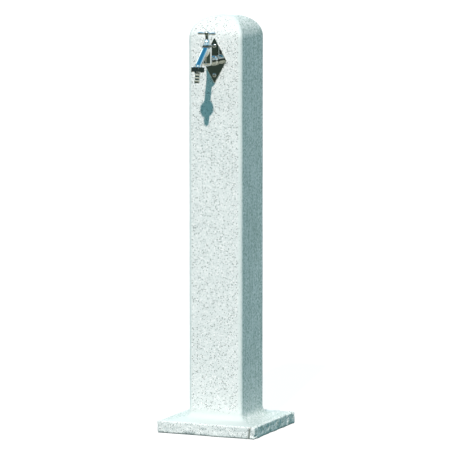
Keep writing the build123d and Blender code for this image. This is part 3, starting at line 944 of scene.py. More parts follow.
@dataclass
class Casing:
    """The moulded post with its crown, flare and split-stone foot, as one closed shell.

    Attributes:
        wall: shell thickness.
        corner_r: rounding of the post's upright corners.
        crown_r: rounding of the top edges.
        crown_gain: growth of the corner radius per mm that the crown draws in.
        rim_height: height of the foot's upright rim.
        skirt_rise: how far the foot's top climbs to the post.
        flare_r: hollow rounding between foot and post.
        foot_corner_r: rounding of the foot's corners.
        lip_r: rounding of the rim's top edge.
        flat_columns: mesh columns on each flat side.
        corner_columns: mesh columns on each corner.
        chip_depth: depth of the split stone's facets.
        chip_count: number of facets around the rim.
        chip_seed: seed of their places.
        chip_tilt: spread of the facets' slopes.
        deepest_chip: limit of their depth.
        seat_r: half width of the flat seats of the lock screws.
        notch_depth: depth of the deepest notch, at the right of the front.
        notch_width: width of its slope.
        notch_offset: distance of the rim's notches from the middle of a side.
    """

    wall: float = 4.5
    corner_r: float = 9.0
    crown_r: float = 52.0
    crown_gain: float = 0.12
    rim_height: float = 28.0
    skirt_rise: float = 6.0
    flare_r: float = 18.0
    foot_corner_r: float = 6.0
    lip_r: float = 2.0
    flat_columns: int = 86
    corner_columns: int = 12
    chip_depth: float = 0.9
    chip_count: int = 110
    chip_seed: int = 41
    chip_tilt: float = 0.07
    deepest_chip: float = 3.2
    seat_r: float = 9.0
    notch_depth: float = 4.2
    notch_width: float = 2.9
    notch_offset: float = 113.0

    def __post_init__(self) -> None:
        """Read the overall sizes from the frame."""
        _, high = node_box("column_casing")
        self.height = float(high[2])
        self.foot_half = float(high[0])
        self.post_half = -float(node_box("mirror_plate")[1][1])
        screw_low, screw_high = node_box("lock_screws")
        self.screw_spread = float(screw_high[0] - (screw_high[2] - screw_low[2]) / 2)

    def outline(self, half: Array, corner_r: Array) -> tuple[Array, Array]:
        """Rounded squares, one for each row, with the same columns in each.

        A side's flat runs from -(half - r) to +(half - r), and its corner is a quarter
        circle of radius r; the first side is turned a quarter three times.

        Args:
            half: half width of each row.
            corner_r: corner radius of each row.

        Returns:
            Points and outward normals, both rows x columns x 2.
        """
        reach = (half - corner_r)[:, None]
        even = np.linspace(-1, 1, 400)
        notch = self.notch_offset / (self.foot_half - self.foot_corner_r)
        crowd = np.cumsum(1 + 5 * np.exp(-((np.abs(even) - notch) / 0.035) ** 2))
        share = np.linspace(crowd[0], crowd[-1], self.flat_columns, endpoint=False)
        across = np.interp(share, crowd, even)[None, :]
        quarter = np.linspace(0, math.pi / 2, self.corner_columns, endpoint=False)[None, :]
        flat = np.stack((np.repeat(half[:, None], self.flat_columns, 1), reach * across), axis=-1)
        flat_normal = np.broadcast_to((1.0, 0.0), flat.shape)
        turned = np.stack(np.broadcast_arrays(np.cos(quarter), np.sin(quarter)), axis=-1)
        bend_normal = np.broadcast_to(turned, (len(half), self.corner_columns, 2))
        bend = reach[..., None] + corner_r[:, None, None] * bend_normal
        points = np.concatenate((flat, bend), axis=1)
        normals = np.concatenate((flat_normal, bend_normal), axis=1)
        sides_p, sides_n = [], []
        for quarter_turn in range(4):
            angle = quarter_turn * math.pi / 2
            turn = np.array(((math.cos(angle), math.sin(angle)), (-math.sin(angle), math.cos(angle))))
            sides_p.append(points @ turn)
            sides_n.append(normals @ turn)
        return np.concatenate(sides_p, axis=1), np.concatenate(sides_n, axis=1)

    def section(self, inset: float, fine: bool) -> Array:
        """Half widths, heights and corner radii from the middle of the crown to the ground.

        The crown is a quarter circle on its upright sides, the flare an arc tangent to the
        post and to the skirt's slope.

        Args:
            inset: distance inside the outer form.
            fine: whether the rows are close together.

        Returns:
            Array of rows x 3: half width, height and corner radius.
        """
        count = 1.0 if fine else 0.25
        post, foot = self.post_half - inset, self.foot_half - inset
        crown_r, flare_r = self.crown_r - inset, self.flare_r + inset
        top, rim = self.height - inset, self.rim_height - inset
        crown_z, knee_z = self.height - self.crown_r, self.rim_height + self.skirt_rise - inset
        turn = np.linspace(math.pi / 2, 0, int(26 * count) + 2)
        half = post - crown_r * (1 - np.cos(turn))
        crown = np.stack((half, crown_z + crown_r * np.sin(turn)), axis=1)
        cap_half = np.linspace(0, half[0], int(9 * count) + 2)[:-1]
        cap = np.stack((cap_half, np.full(len(cap_half), top)), axis=1)
        slope = np.array((foot - post, rim - knee_z))
        slope /= np.linalg.norm(slope)
        centre_z = knee_z + (flare_r * slope[1] + flare_r) / slope[0]
        centre = np.array((post + flare_r, centre_z))
        arc_end = 1.5 * math.pi - math.atan2(-slope[1], slope[0])
        arc = np.linspace(math.pi, arc_end, int(14 * count) + 3)
        flare = centre + flare_r * np.stack((np.cos(arc), np.sin(arc)), axis=1)
        upright = np.stack((np.full(int(100 * count), post),
                            np.linspace(crown_z, centre_z, int(100 * count) + 2)[1:-1]), axis=1)
        lip_r = max(self.lip_r - inset, 0.3)
        edge = np.array((foot, rim))
        bend = np.linspace(0.1, math.pi / 2, 5)
        lip = np.stack((foot - lip_r + lip_r * np.sin(bend), rim - lip_r + lip_r * np.cos(bend)), axis=1)
        run = np.linspace(0, 1, int(16 * count) + 3)[1:-1, None]
        skirt = flare[-1] + (edge - slope * lip_r * 1.2 - flare[-1]) * run
        down = np.stack((np.full(int(16 * count) + 1, foot),
                         np.linspace(rim - lip_r, 0, int(16 * count) + 2)[1:]), axis=1)
        rows = np.vstack((cap, crown, upright, flare, skirt, lip, down))
        drawn_in = np.clip(post - rows[:, 0], 0, None)
        spread = np.clip((rows[:, 0] - post) / (foot - post), 0, 1)
        post_r, foot_r = self.corner_r - inset, self.foot_corner_r - inset
        corner = post_r + self.crown_gain * drawn_in + (foot_r - post_r) * spread
        corner = np.minimum(corner, rows[:, 0] * 0.92)
        return np.column_stack((rows, corner))

    def chips(self, skin: Skin) -> Array:
        """Depth of the split stone at points on the rim.

        The rim is divided among scattered chips. Each point takes the tilted plane of its
        nearest chip, softened towards the second nearest, with small waves added. The lower
        edge is worn back, and the seats of the lock screws stay flat.

        Args:
            skin: the outer form.

        Returns:
            Depths below the outer form, never under 0.
        """
        random = np.random.default_rng(self.chip_seed)
        turn = random.uniform(0, 4, self.chip_count)
        angle, along = np.floor(turn) * math.pi / 2, (turn % 1) * 2 - 1
        flat = np.stack((np.ones(self.chip_count), along), axis=1) * self.foot_half
        seeds = np.stack((
            flat[:, 0] * np.cos(angle) - flat[:, 1] * np.sin(angle),
            flat[:, 0] * np.sin(angle) + flat[:, 1] * np.cos(angle),
            random.uniform(0, self.rim_height, self.chip_count),
        ), axis=1)
        level = random.uniform(0.1, 1.0, self.chip_count) * self.chip_depth
        tilt = random.normal(0, self.chip_tilt, (self.chip_count, 3))
        points = skin.points.reshape(-1, 3)
        squat = (1, 1, 1.4)
        gap = np.linalg.norm(points[:, None, :] * squat - seeds[None] * squat, axis=2)
        order = np.argsort(gap, axis=1)[:, :2]
        near = np.take_along_axis(gap, order, axis=1)
        planes = level[order] + np.einsum("pks,pks->pk", points[:, None, :] - seeds[order], tilt[order])
        blend = 0.5 * np.exp(-(near[:, 1] - near[:, 0]) / 1.2)
        depth = planes[:, 0] * (1 - blend) + planes[:, 1] * blend
        depth = depth.reshape(skin.z.shape)
        depth += skin.waves(0.2, 6.0, 7) + skin.waves(0.3, 18.0, 8) + 0.4
        depth += np.where(np.abs(skin.normals[..., 0]) > 0.7, skin.waves(0.35, 5.0, 21, 0.2), 0)
        worn = np.clip(1 - skin.z / 5, 0, 1) ** 2 * (1.6 + skin.waves(0.8, 30.0, 22))
        seats = np.abs(np.abs(skin.points[..., 0]) - self.screw_spread) < self.seat_r
        y = skin.points[..., 1]
        at_back = (y > 0) * smooth_step(self.foot_half - 1, self.foot_half, y)
        return np.clip(depth + worn, 0, self.deepest_chip) * (1 - seats * at_back)

    def notches(self, skin: Skin) -> Array:
        """Depth of the V-shaped notches near the rim's corners.

        A notch is a triangle of depth against the distance along the side, and the one at
        the right of the front is the widest and deepest.

        Args:
            skin: the outer form.

        Returns:
            Depths of the notches.
        """
        lean = 0.12 * (skin.z - self.rim_height / 2)
        front_right = (skin.normals[..., 1] < -0.5) & (skin.points[..., 0] > 0)
        size = np.where(front_right, 1.0, 0.45)
        depth = np.zeros(skin.z.shape)
        for side in (-1, 1):
            gap = np.abs(skin.along - side * self.notch_offset - lean)
            reach = np.clip(1.5 - gap / (self.notch_width * size), 0, 1)
            depth = np.maximum(depth, size * self.notch_depth * reach)
        return np.where(skin.on_flat, depth, 0)

    def sink(self, skin: Skin) -> Array:
        """How far the post's flats sink in, as a moulded wall does while it cools.

        A cosine across each side and slow waves, faded out towards the foot, towards the
        crown and on the front behind the plate.

        Args:
            skin: the outer form.

        Returns:
            Depths below the outer form.
        """
        z, top = skin.z, self.height
        on_post = smooth_step(70, 120, z) * (1 - smooth_step(top - 60, top - 20, z))
        across = np.cos(np.clip(skin.along / self.post_half, -1, 1) * math.pi / 2)
        depth = 0.45 * across * on_post * skin.on_flat + skin.waves(0.12, 90.0, 3) * on_post
        return depth * (1 - (skin.normals[..., 1] < -0.99) * smooth_step(top - 230, top - 180, z))

    def parting_line(self, skin: Skin) -> Array:
        """The mould's parting line up the middle of both sides, a narrow bell curve of 1."""
        line = (np.abs(skin.normals[..., 0]) > 0.999) * skin.on_flat * np.exp(-(skin.along / 1.1) ** 2)
        line = line * (1 - smooth_step(self.height - 40, self.height, skin.z))
        return line * (skin.half <= self.post_half + 0.01)

    def outer(self) -> tuple[Array, Array]:
        """The outer skin with its stone rim, parting lines and slight sink marks.

        Points move in along their normals by the depths, and the rim's lip and lower edge
        move up and down by waves.

        Returns:
            Points of rows x columns x 3, and the masks of rows x columns x 4: moulded marks, painted highlight and
            painted shade.
        """
        rows = self.section(0.0, fine=True)
        flat, normals = self.outline(rows[:, 0], rows[:, 2])
        heights = np.repeat(rows[:, 1, None, None], flat.shape[1], 1)
        half = np.broadcast_to(rows[:, 0, None], flat.shape[:2])
        skin = Skin(np.concatenate((flat, heights), axis=2), normals, half)
        z, foot_half = skin.z, self.foot_half
        line, notches = self.parting_line(skin), self.notches(skin)
        rim = smooth_step(foot_half - 9, foot_half - 2.2, half)
        stone = rim * np.clip(self.chips(skin) + notches, 0, self.wall - 0.5)
        depth = self.sink(skin) - 0.35 * line + stone
        lip = smooth_step(foot_half - 14, foot_half - 3, half)
        lip = lip * smooth_step(self.rim_height - 5, self.rim_height - 1, z)
        lift = lip * (skin.waves(0.7, 11.0, 11) + 0.8 * np.clip(skin.waves(1.0, 4.5, 12), 0, 2) + 0.4)
        lift -= lip * 0.8 * notches
        worn = np.clip(0.8 + skin.waves(1.3, 45.0, 31, 0.0), 0, 2.6)
        lift += rim * worn * np.clip(1 - z / self.rim_height, 0, 1) ** 2 * skin.on_flat
        moved = skin.points.copy()
        moved[..., :2] -= depth[..., None] * normals
        moved[..., 2] += lift
        # Painted shade: the flare and the foot's top get a greyer tint (blue) so that their upward faces don't
        # clip to white under the key light.
        foot_top_painted_shade = smooth_step(self.post_half + 1, self.post_half + 6, half)
        foot_top_painted_shade = np.maximum(foot_top_painted_shade, 1 - smooth_step(44, 58, z)) * (1 - lip) * (1 - rim)
        wear = (0.6 + skin.waves(0.4, 22.0, 15, 0.15)) * (1 - 0.75 * smooth_step(150, 700, z))
        # Painted highlight: the post's rounded corners are painted paler (red) and carry fewer flecks (blue).
        edge = (~skin.on_flat) * (1 - rim) * 0.55 * (half <= self.post_half + 0.01)
        chipped = lip * np.clip(lift - 0.7, 0, 1)
        # Red: the scraped parting line, the lifted parts of the rim's lip and the painted highlight on the
        # corners.
        pale = np.clip(np.maximum(line * wear, np.maximum(edge, chipped)), 0, 1)
        # Painted shade: the deep notches and the rim's lowest 3 mm are darkened, standing in for the shade in the
        # crevices and the contact shadow at the floor.
        notch_painted_shade = smooth_step(2.2, 3.6, notches) * rim
        painted_crevice_shade = np.clip(np.maximum(notch_painted_shade, rim * (1 - smooth_step(0.6, 3.2, z))), 0, 1)
        # The sides (alpha), where pale blots also lift the shaded faces as painted light.
        sides = np.abs(normals[..., 0]) > 0.9
        masks = np.stack(np.broadcast_arrays(pale, painted_crevice_shade, np.maximum(foot_top_painted_shade, edge), sides), axis=-1)
        return moved, masks

    def shell(self) -> tuple[Patch, Array]:
        """Outer skin, underside and inner skin as one closed patch.

        Returns:
            The patch and the masks of its points.
        """
        outer, masks = self.outer()
        outer[..., 2] = np.clip(outer[..., 2], 0, self.height)
        rows = self.section(self.wall, fine=False)[::-1]
        flat, _ = self.outline(rows[:, 0], rows[:, 2])
        inner = np.concatenate((flat, np.repeat(rows[:, 1, None, None], flat.shape[1], 1)), axis=2)
        points = np.concatenate((outer, inner))
        inner_masks = np.zeros(inner.shape[:2] + (4,))
        return Patch(points, start_pole=True, end_pole=True), np.concatenate((masks, inner_masks))

    def clip_boss(self) -> Patch:
        """The boss inside the front wall that holds the pipe clip's insert."""
        low, high = node_box("pipe_clip_insert")
        centre = (low + high) / 2
        bore, outer_r = float(high[0]) + 0.05, 2 * float(high[0])
        depth = float(high[1] - low[1])
        profile = rounded_profile([
            (bore, 0, 0), (bore, depth, 0), (outer_r, depth, 1.0), (outer_r + 1.5, 0, 0), (bore, 0, 0)])
        return lathe(profile[:-1], np.array((0, low[1], centre[2])), -FRONT, 48)

    def build(self, paint: Paintbox) -> None:
        """Make the casing and put it in place of its CAD node.

        Args:
            paint: finishes and installs the piece.
        """
        patch, masks = self.shell()
        piece = mesh_of("granite_casing", [patch, self.clip_boss()], crease=50)
        # The masks carry the moulded marks together with the painted highlight and the painted shade.
        attribute = piece.data.attributes.new("moulding_and_painted_light", "FLOAT_COLOR", "POINT")
        kept, _ = patch.numbering()
        values = np.zeros((len(piece.data.vertices), 4))
        values[:len(kept)] = masks.reshape(-1, 4)[kept]
        attribute.data.foreach_set("color", values.ravel())
        paint.install(piece, Slot.SHELL, Body.ROOT, "column_casing")


# ---------------------------------------------------------------- tap, plate and union


@dataclass
class TapSizes:
    """Sizes shared by the tap's pieces: the axes and seats, read from the frame.

    Attributes:
        barrel_r: outer radius of the barrel.
        chamber_r: radius of its valve chamber.
        spindle_hole_r: radius of the bores that the spindle runs in.
        outlet_start: from the spout's bend to the threaded outlet, along the outlet.
        outlet_length: length of the threaded outlet.
    """

    barrel_r: float = 11.75
    chamber_r: float = 9.55
    spindle_hole_r: float = 4.08
    outlet_start: float = 1.6
    outlet_length: float = 6.5

    def __post_init__(self) -> None:
        """Read the tap's axis, its bend and its outlet's direction."""
        turn, union = joint_named("handle_turn"), joint_named("union_nut_turn")
        washer_low, washer_high = node_box("inlet_washer")
        self.axis_y = float(turn["pos_m"][1]) / MM
        self.inlet_z = float(washer_low[2] + washer_high[2]) / 2
        self.inlet_y = float(washer_low[1])
        self.bend = np.array(union["pos_m"], float) / MM
        self.outlet = np.array(union["axis"], float) / np.linalg.norm(union["axis"])
        self.barrel_top = float(node_box("bonnet_gasket")[0][2])


@dataclass
class TapBody:
    """The casting: barrel with its valve seat, inlet, collar, spout and outlet.

    Attributes:
        bottom_r: rounding of the barrel's lower end.
        bottom_drop: inlet axis to the barrel's lower end.
        inlet_r: radius of the inlet tube.
        inlet_bore_r: radius of its bore.
        thread_r: radius of the inlet's thread.
        thread_length: its length behind the collar.
        collar_r: radius of the collar.
        collar_t: thickness of the collar.
        spout_r: radius of the spout.
        spout_bore_r: radius of its bore.
        spout_pitch: degrees below level.
        bend_r: radius of its bend.
        outlet_r: radius of the outlet's thread.
        outlet_pitch: pitch of that thread.
        ridge: height of the thread's waves.
        seat_rise: inlet axis to the valve seat.
        seat_t: from the seat down to the underside of its web.
        seat_r: radius of the raised seat ring.
        seat_bore_r: radius of the water's way through the seat.
        lower_r: radius of the chamber under the seat.
        floor_t: metal under that chamber.
        port_r: radius of the port from the valve chamber to the spout.
        port_rise: seat to the port's centre.
        port_length: length of the port.
        inlet_fillet: cast fillet between barrel and inlet.
        spout_fillet: cast fillet between barrel and spout.
        collar_fillet: fillet at the collar.
        outlet_fillet: fillet between spout and outlet.
        step: cell of the field's grid.
    """

    bottom_r: float = 6.5
    bottom_drop: float = 9.0
    inlet_r: float = 9.5
    inlet_bore_r: float = 6.5
    thread_r: float = 10.48
    thread_length: float = 24.0
    collar_r: float = 12.0
    collar_t: float = 7.0
    spout_r: float = 8.0
    spout_bore_r: float = 5.8
    spout_pitch: float = 40.0
    bend_r: float = 14.0
    outlet_r: float = 13.2
    outlet_pitch: float = 1.814
    ridge: float = 0.3
    seat_rise: float = 17.0
    seat_t: float = 6.0
    seat_r: float = 7.0
    seat_bore_r: float = 5.5
    lower_r: float = 8.0
    floor_t: float = 3.5
    port_r: float = 4.5
    port_rise: float = 4.0
    port_length: float = 19.0
    inlet_fillet: float = 4.0
    spout_fillet: float = 4.5
    collar_fillet: float = 1.6
    outlet_fillet: float = 1.2
    step: float = 0.5

    def spout_path(self, tap: TapSizes) -> Array:
        """Centreline of the spout, with its bend as a tangent arc.

        Args:
            tap: the tap's shared sizes.

        Returns:
            (y, z) points from inside the barrel to the outlet's end.
        """
        pitch = math.radians(self.spout_pitch)
        up_spout = np.array((math.cos(pitch), math.sin(pitch)))
        outlet = tap.outlet[1:] / np.linalg.norm(tap.outlet[1:])
        bend = tap.bend[1:]
        reach = (tap.axis_y - 5.0 - bend[0]) / up_spout[0]
        end = outlet * (tap.outlet_start + tap.outlet_length)
        corners = [(*(bend + up_spout * reach), 0.0), (*bend, self.bend_r), (*(bend + end), 0.0)]
        return rounded_profile(corners, 12)

    def field(self, tap: TapSizes) -> Field:
        """The casting's distance field.

        Args:
            tap: the tap's shared sizes.

        Returns:
            The field, with cast fillets where its parts meet and its bores cut out.
        """
        path = self.spout_path(tap)
        bottom, seat_z = tap.inlet_z - self.bottom_drop, tap.inlet_z + self.seat_rise
        web_z = seat_z - self.seat_t
        heights = (bottom, web_z, seat_z, seat_z + self.port_rise, tap.inlet_z)
        foot, web, seat, port, inlet = (np.array((0.0, tap.axis_y, z)) for z in heights)
        collar = np.array((0.0, tap.inlet_y, tap.inlet_z))
        outlet_start = tap.bend + tap.outlet * tap.outlet_start
        tube = tap.inlet_y - tap.axis_y

        def distance(points: Array) -> Array:
            """Distances to the finished casting.

            Args:
                points: array of ... x 3.

            Returns:
                Signed distances, negative inside the metal.
            """
            along_outlet = (points - outlet_start) @ tap.outlet
            around = np.arctan2(points[..., 0], points[..., 1] - tap.bend[1])
            turns = np.cos(2 * math.pi * along_outlet / self.outlet_pitch - around)
            body = rod_field(points, foot, UP, tap.barrel_r, tap.barrel_top - bottom, self.bottom_r)
            body = join(body, rod_field(points, inlet, -FRONT, self.inlet_r, tube), self.inlet_fillet)
            spout = np.maximum(path_field(points, path, self.spout_r), along_outlet - tap.outlet_length)
            body = join(body, spout, self.spout_fillet)
            ring = rod_field(points, collar, FRONT, self.collar_r, self.collar_t, 0.4, 2.4)
            body = join(body, ring, self.collar_fillet)
            crest_r = self.outlet_r - 0.35 + self.ridge * turns
            outlet = rod_field(points, outlet_start, tap.outlet, crest_r, tap.outlet_length)
            body = join(body, outlet, self.outlet_fillet)
            inlet_thread = rod_field(points, collar, -FRONT, self.thread_r, self.thread_length, 0.3, 0.8)
            body = np.minimum(body, inlet_thread)
            body = np.maximum(body, points[..., 2] - tap.barrel_top)
            chamber = rod_field(points, seat - UP * 2, UP, tap.chamber_r, THROUGH)
            seat_ring = rod_field(points, web - UP * 2, UP, self.seat_r, self.seat_t + 2)
            chamber = np.maximum(chamber, -seat_ring)
            core = rod_field(points, foot, UP, tap.chamber_r + 1.1, THROUGH)
            waterway = np.maximum(path_field(points, path, self.spout_bore_r), -core)
            bores = (
                np.maximum(waterway, points[..., 2] - port[2] - self.port_r),
                chamber,
                rod_field(points, foot + UP * self.floor_t, UP, self.lower_r, web_z - bottom - self.floor_t),
                rod_field(points, web - UP, UP, self.seat_bore_r, 2 * self.seat_t),
                rod_field(points, inlet, -FRONT, self.inlet_bore_r, tube + self.thread_length + 5),
                rod_field(points, port, FRONT, self.port_r, self.port_length),
            )
            return np.maximum(body, -np.minimum.reduce(bores))

        return distance

    def build(self, paint: Paintbox, tap: TapSizes) -> None:
        """Make the casting.

        Args:
            paint: finishes and installs the pieces.
            tap: the tap's shared sizes.
        """
        low, high = node_box("tap_body")
        piece = mesh_of_field("cast_tap_body", self.field(tap), low, high, self.step)
        paint.install(piece, Slot.CHROME, Body.ROOT, "tap_body")


@dataclass
class Headwork:
    """Bonnet and conical gland nut over the barrel.

    Attributes:
        flange_af: width of the bonnet's hexagon.
        flange_t: its thickness.
        cone_r: radius of the cone's foot.
        neck_r: radius of the neck inside the gland nut.
        thread_rise: top of the threaded bore above the closed spindle's lower end, which
            leaves room for the raised spindle's thread.
        tip_r: radius of the gland nut's tip.
        play: radial play of the two threads.
    """

    flange_af: float = 23.0
    flange_t: float = 5.0
    cone_r: float = 9.3
    neck_r: float = 5.1
    thread_rise: float = 24.9
    tip_r: float = 5.3
    play: float = 0.06

    def build(self, paint: Paintbox, tap: TapSizes) -> None:
        """Make both pieces as closed rings round the spindle.

        Args:
            paint: finishes and installs the pieces.
            tap: the tap's shared sizes.
        """
        low, high = node_box("bonnet")
        gland_low, gland_high = node_box("gland_nut")
        flange = float(node_box("bonnet_gasket")[1][2])
        cone, top, neck = flange + self.flange_t, float(gland_low[2]), float(high[2])
        top_r = float(gland_high[0])
        thread_r, corner_r = tap.spindle_hole_r + 1.0, self.flange_af / 2 * TO_CORNER
        thread_top = float(node_box("spindle")[0][2]) + self.thread_rise
        skirt_r, neck_bore = tap.chamber_r - self.play, self.neck_r + self.play
        profile = rounded_profile([
            (thread_r, low[2], 0), (skirt_r, low[2], 0.4), (skirt_r, flange, 0),
            (self.flange_af / 2 - 0.1, flange, 0.2), (corner_r - 0.2, flange + 1.0, 0.4),
            (corner_r - 0.2, cone - 1.0, 0.4), (self.flange_af / 2 - 0.3, cone, 0.2),
            (self.cone_r, cone, 0.7), (self.cone_r - 0.3, cone + 1.0, 0.5), (top_r, top, 0.25),
            (self.neck_r, top, 0.1), (self.neck_r, neck, 0.2), (tap.spindle_hole_r, neck, 0),
            (tap.spindle_hole_r, thread_top, 0), (thread_r, thread_top, 0)])
        origin = np.array((0.0, tap.axis_y, 0.0))
        bonnet = mesh_of("hexagon_bonnet", [lathe(profile, origin, UP, 144, self.flange_af)], TURNED_CREASE)
        paint.install(bonnet, Slot.CHROME, Body.ROOT, "bonnet")
        roof = float(gland_high[2])
        profile = rounded_profile([
            (neck_bore, top, 0), (top_r - 0.4, top, 0.1), (top_r, top + 0.5, 0.3),
            (top_r, top + 1.3, 0.3), (self.tip_r, roof - 0.9, 0.5), (self.tip_r, roof, 0.7),
            (tap.spindle_hole_r, roof, 0), (tap.spindle_hole_r, roof - 1.6, 0),
            (neck_bore, roof - 1.6, 0)])
        gland = mesh_of("conical_gland_nut", [lathe(profile, origin, UP, 96)], TURNED_CREASE)
        paint.install(gland, Slot.CHROME, Body.ROOT, "gland_nut")


@dataclass
class Handle:
    """T-bar with a round hub, and its dome screw.

    Attributes:
        hub_r: radius of the hub.
        depth: the bar's size front to back at its ends.
        thickness: its height there.
        waist: how much thinner the bar is beside the hub.
        square: side of the spindle's square hole.
        step: cell of the field's grid.
    """

    hub_r: float = 5.9
    depth: float = 7.2
    thickness: float = 6.6
    waist: float = 0.55
    square: float = 5.7
    step: float = 0.4

    def build(self, paint: Paintbox, tap: TapSizes) -> None:
        """Make the handle and its screw.

        Args:
            paint: finishes and installs the pieces.
            tap: the tap's shared sizes.
        """
        low, high = node_box("handle")
        centre = (low + high) / 2
        foot = np.array((centre[0], centre[1], low[2]))
        half = np.array((high[0], self.depth / 2, self.thickness / 2))

        def field(points: Array) -> Array:
            """A waisted bar joined to the hub, less the square hole.

            Args:
                points: array of ... x 3.

            Returns:
                Signed distances, negative inside the metal.
            """
            thin = self.waist * (1 - smooth_step(self.hub_r, half[0] - 5, np.abs(points[..., 0])))
            arm = half - thin[..., None] * np.array((0.0, 1.0, 1.0))
            bar = box_field(points, centre, arm, 2.7)
            hub = rod_field(points, foot, UP, self.hub_r, high[2] - low[2], 0.8, 0.8)
            hole = np.abs(points[..., :2] - centre[:2]).max(axis=-1) - self.square / 2
            return np.maximum(join(bar, hub, 1.8), np.maximum(-hole, low[2] - points[..., 2]))

        bar = mesh_of_field("t_bar_handle", field, low, high, self.step)
        paint.install(bar, Slot.CHROME, Body.SPINDLE, "handle")
        seat = np.array((0.0, tap.axis_y, high[2]))
        screw = mesh_of("handle_dome_screw", [dome_screw(seat, UP, 3.4, 2.2, 1.45, 8.0)], TURNED_CREASE)
        paint.install(screw, Slot.SCREW, Body.SPINDLE, "handle_screw")


def dome_screw(
    seat: Array, axis: Array, head_r: float, head_h: float, shank_r: float, length: float
) -> Patch:
    """Dome-headed screw with a hexagon socket and a pointed end, as one patch.

    Args:
        seat: centre of the face that the head bears on.
        axis: direction from the seat out through the head.
        head_r: radius of the head.
        head_h: height of the head.
        shank_r: radius of the shank.
        length: length of the shank.

    Returns:
        The closed patch.
    """
    socket_r, floor = 0.42 * head_r, 0.5 * head_h
    brim = 0.25
    start = math.asin(socket_r / head_r) + 0.12
    turn = np.linspace(math.pi / 2 - start, 0, 12)
    dome = np.stack((head_r * np.cos(turn), brim + (head_h - brim) * np.sin(turn) ** 0.9), axis=1)
    rows = np.vstack((
        [(0, floor), (socket_r * 1.1, floor), (socket_r * 1.1, dome[0, 1] - 0.15)], dome,
        [(head_r, 0), (shank_r, 0), (shank_r, shank_r - length), (shank_r * 0.6, -length), (0, -length)]))
    flats = np.full(len(rows), np.inf)
    flats[:3] = 2 * socket_r / TO_CORNER
    return lathe(rows, seat, axis, 48, flats)


@dataclass
class HoseUnion:
    """Union nut and barbed hose tail on the outlet.

    Attributes:
        nut_af: width of the nut across its flats.
        nut_start: start of the nut along the outlet from the spout's bend.
        nut_length: its length.
        lip_t: thickness of the lip that carries the tail.
        thread_bore_r: radius of its threaded bore.
        tail_hole_r: radius of the hole in its lip.
        flange_at: start of the tail's flange.
        flange_t: its thickness.
        crest_r: radius of the barbs' crests.
        root_r: radius of their roots.
        bore_r: radius of the tail's waterway.
        neck: plain length under the flange.
        groove: groove before the first barb.
        barb: length of a barb.
        barbs: number of barbs.
    """

    nut_af: float = 30.0
    nut_start: float = 1.1
    nut_length: float = 13.0
    lip_t: float = 2.0
    thread_bore_r: float = 13.27
    tail_hole_r: float = 7.5
    flange_at: float = 10.1
    flange_t: float = 2.0
    crest_r: float = 7.2
    root_r: float = 6.2
    bore_r: float = 4.8
    neck: float = 4.4
    groove: float = 1.6
    barb: float = 7.0
    barbs: int = 3

    def build(self, paint: Paintbox, tap: TapSizes) -> None:
        """Make the nut and the tail.

        Args:
            paint: finishes and installs the pieces.
            tap: the tap's shared sizes.
        """
        corner_r, length = self.nut_af / 2 * TO_CORNER, self.nut_length
        bore, hole, lip = self.thread_bore_r, self.tail_hole_r, length - self.lip_t
        profile = rounded_profile([
            (bore, 0.4, 0), (bore + 0.4, 0, 0), (corner_r - 2.4, 0, 0.3), (corner_r - 0.15, 1.3, 0.5),
            (corner_r - 0.15, length - 1.3, 0.5), (corner_r - 2.4, length, 0.3), (hole + 0.3, length, 0),
            (hole, length - 0.3, 0), (hole, lip, 0), (bore, lip, 0)])
        start = tap.bend + tap.outlet * self.nut_start
        turned = lathe(profile, start, tap.outlet, 144, self.nut_af)
        nut = mesh_of("union_nut_hexagon", [turned], TURNED_CREASE)
        paint.install(nut, Slot.CHROME, Body.UNION, "union_nut")
        along = self.flange_t + self.neck
        flange_r = float(node_box("hose_tail")[1][0])
        corners = [
            (self.bore_r, 0, 0), (flange_r, 0, 0.3), (flange_r, self.flange_t, 0.3),
            (self.crest_r, self.flange_t, 0.2), (self.crest_r, along, 0.4), (self.root_r, along + 0.3, 0.2),
            (self.root_r, along + self.groove, 0.2)]
        along += self.groove
        for _ in range(self.barbs):
            corners += [
                (self.crest_r - 0.2, along + 0.1, 0.2), (self.crest_r, along + 0.5, 0.3),
                (self.root_r + 0.05, along + 3.0, 0.5), (self.root_r - 0.35, along + self.barb - 0.2, 0.2)]
            along += self.barb
        corners += [(self.root_r - 0.6, along, 0.2), (self.bore_r, along, 0)]
        start = tap.bend + tap.outlet * self.flange_at
        profile = split_runs(rounded_profile(corners, 5), 2.5)
        tail = mesh_of("barbed_hose_tail", [lathe(profile, start, tap.outlet, 96)], TURNED_CREASE)
        paint.install(tail, Slot.CHROME, Body.HOSE_END, "hose_tail")


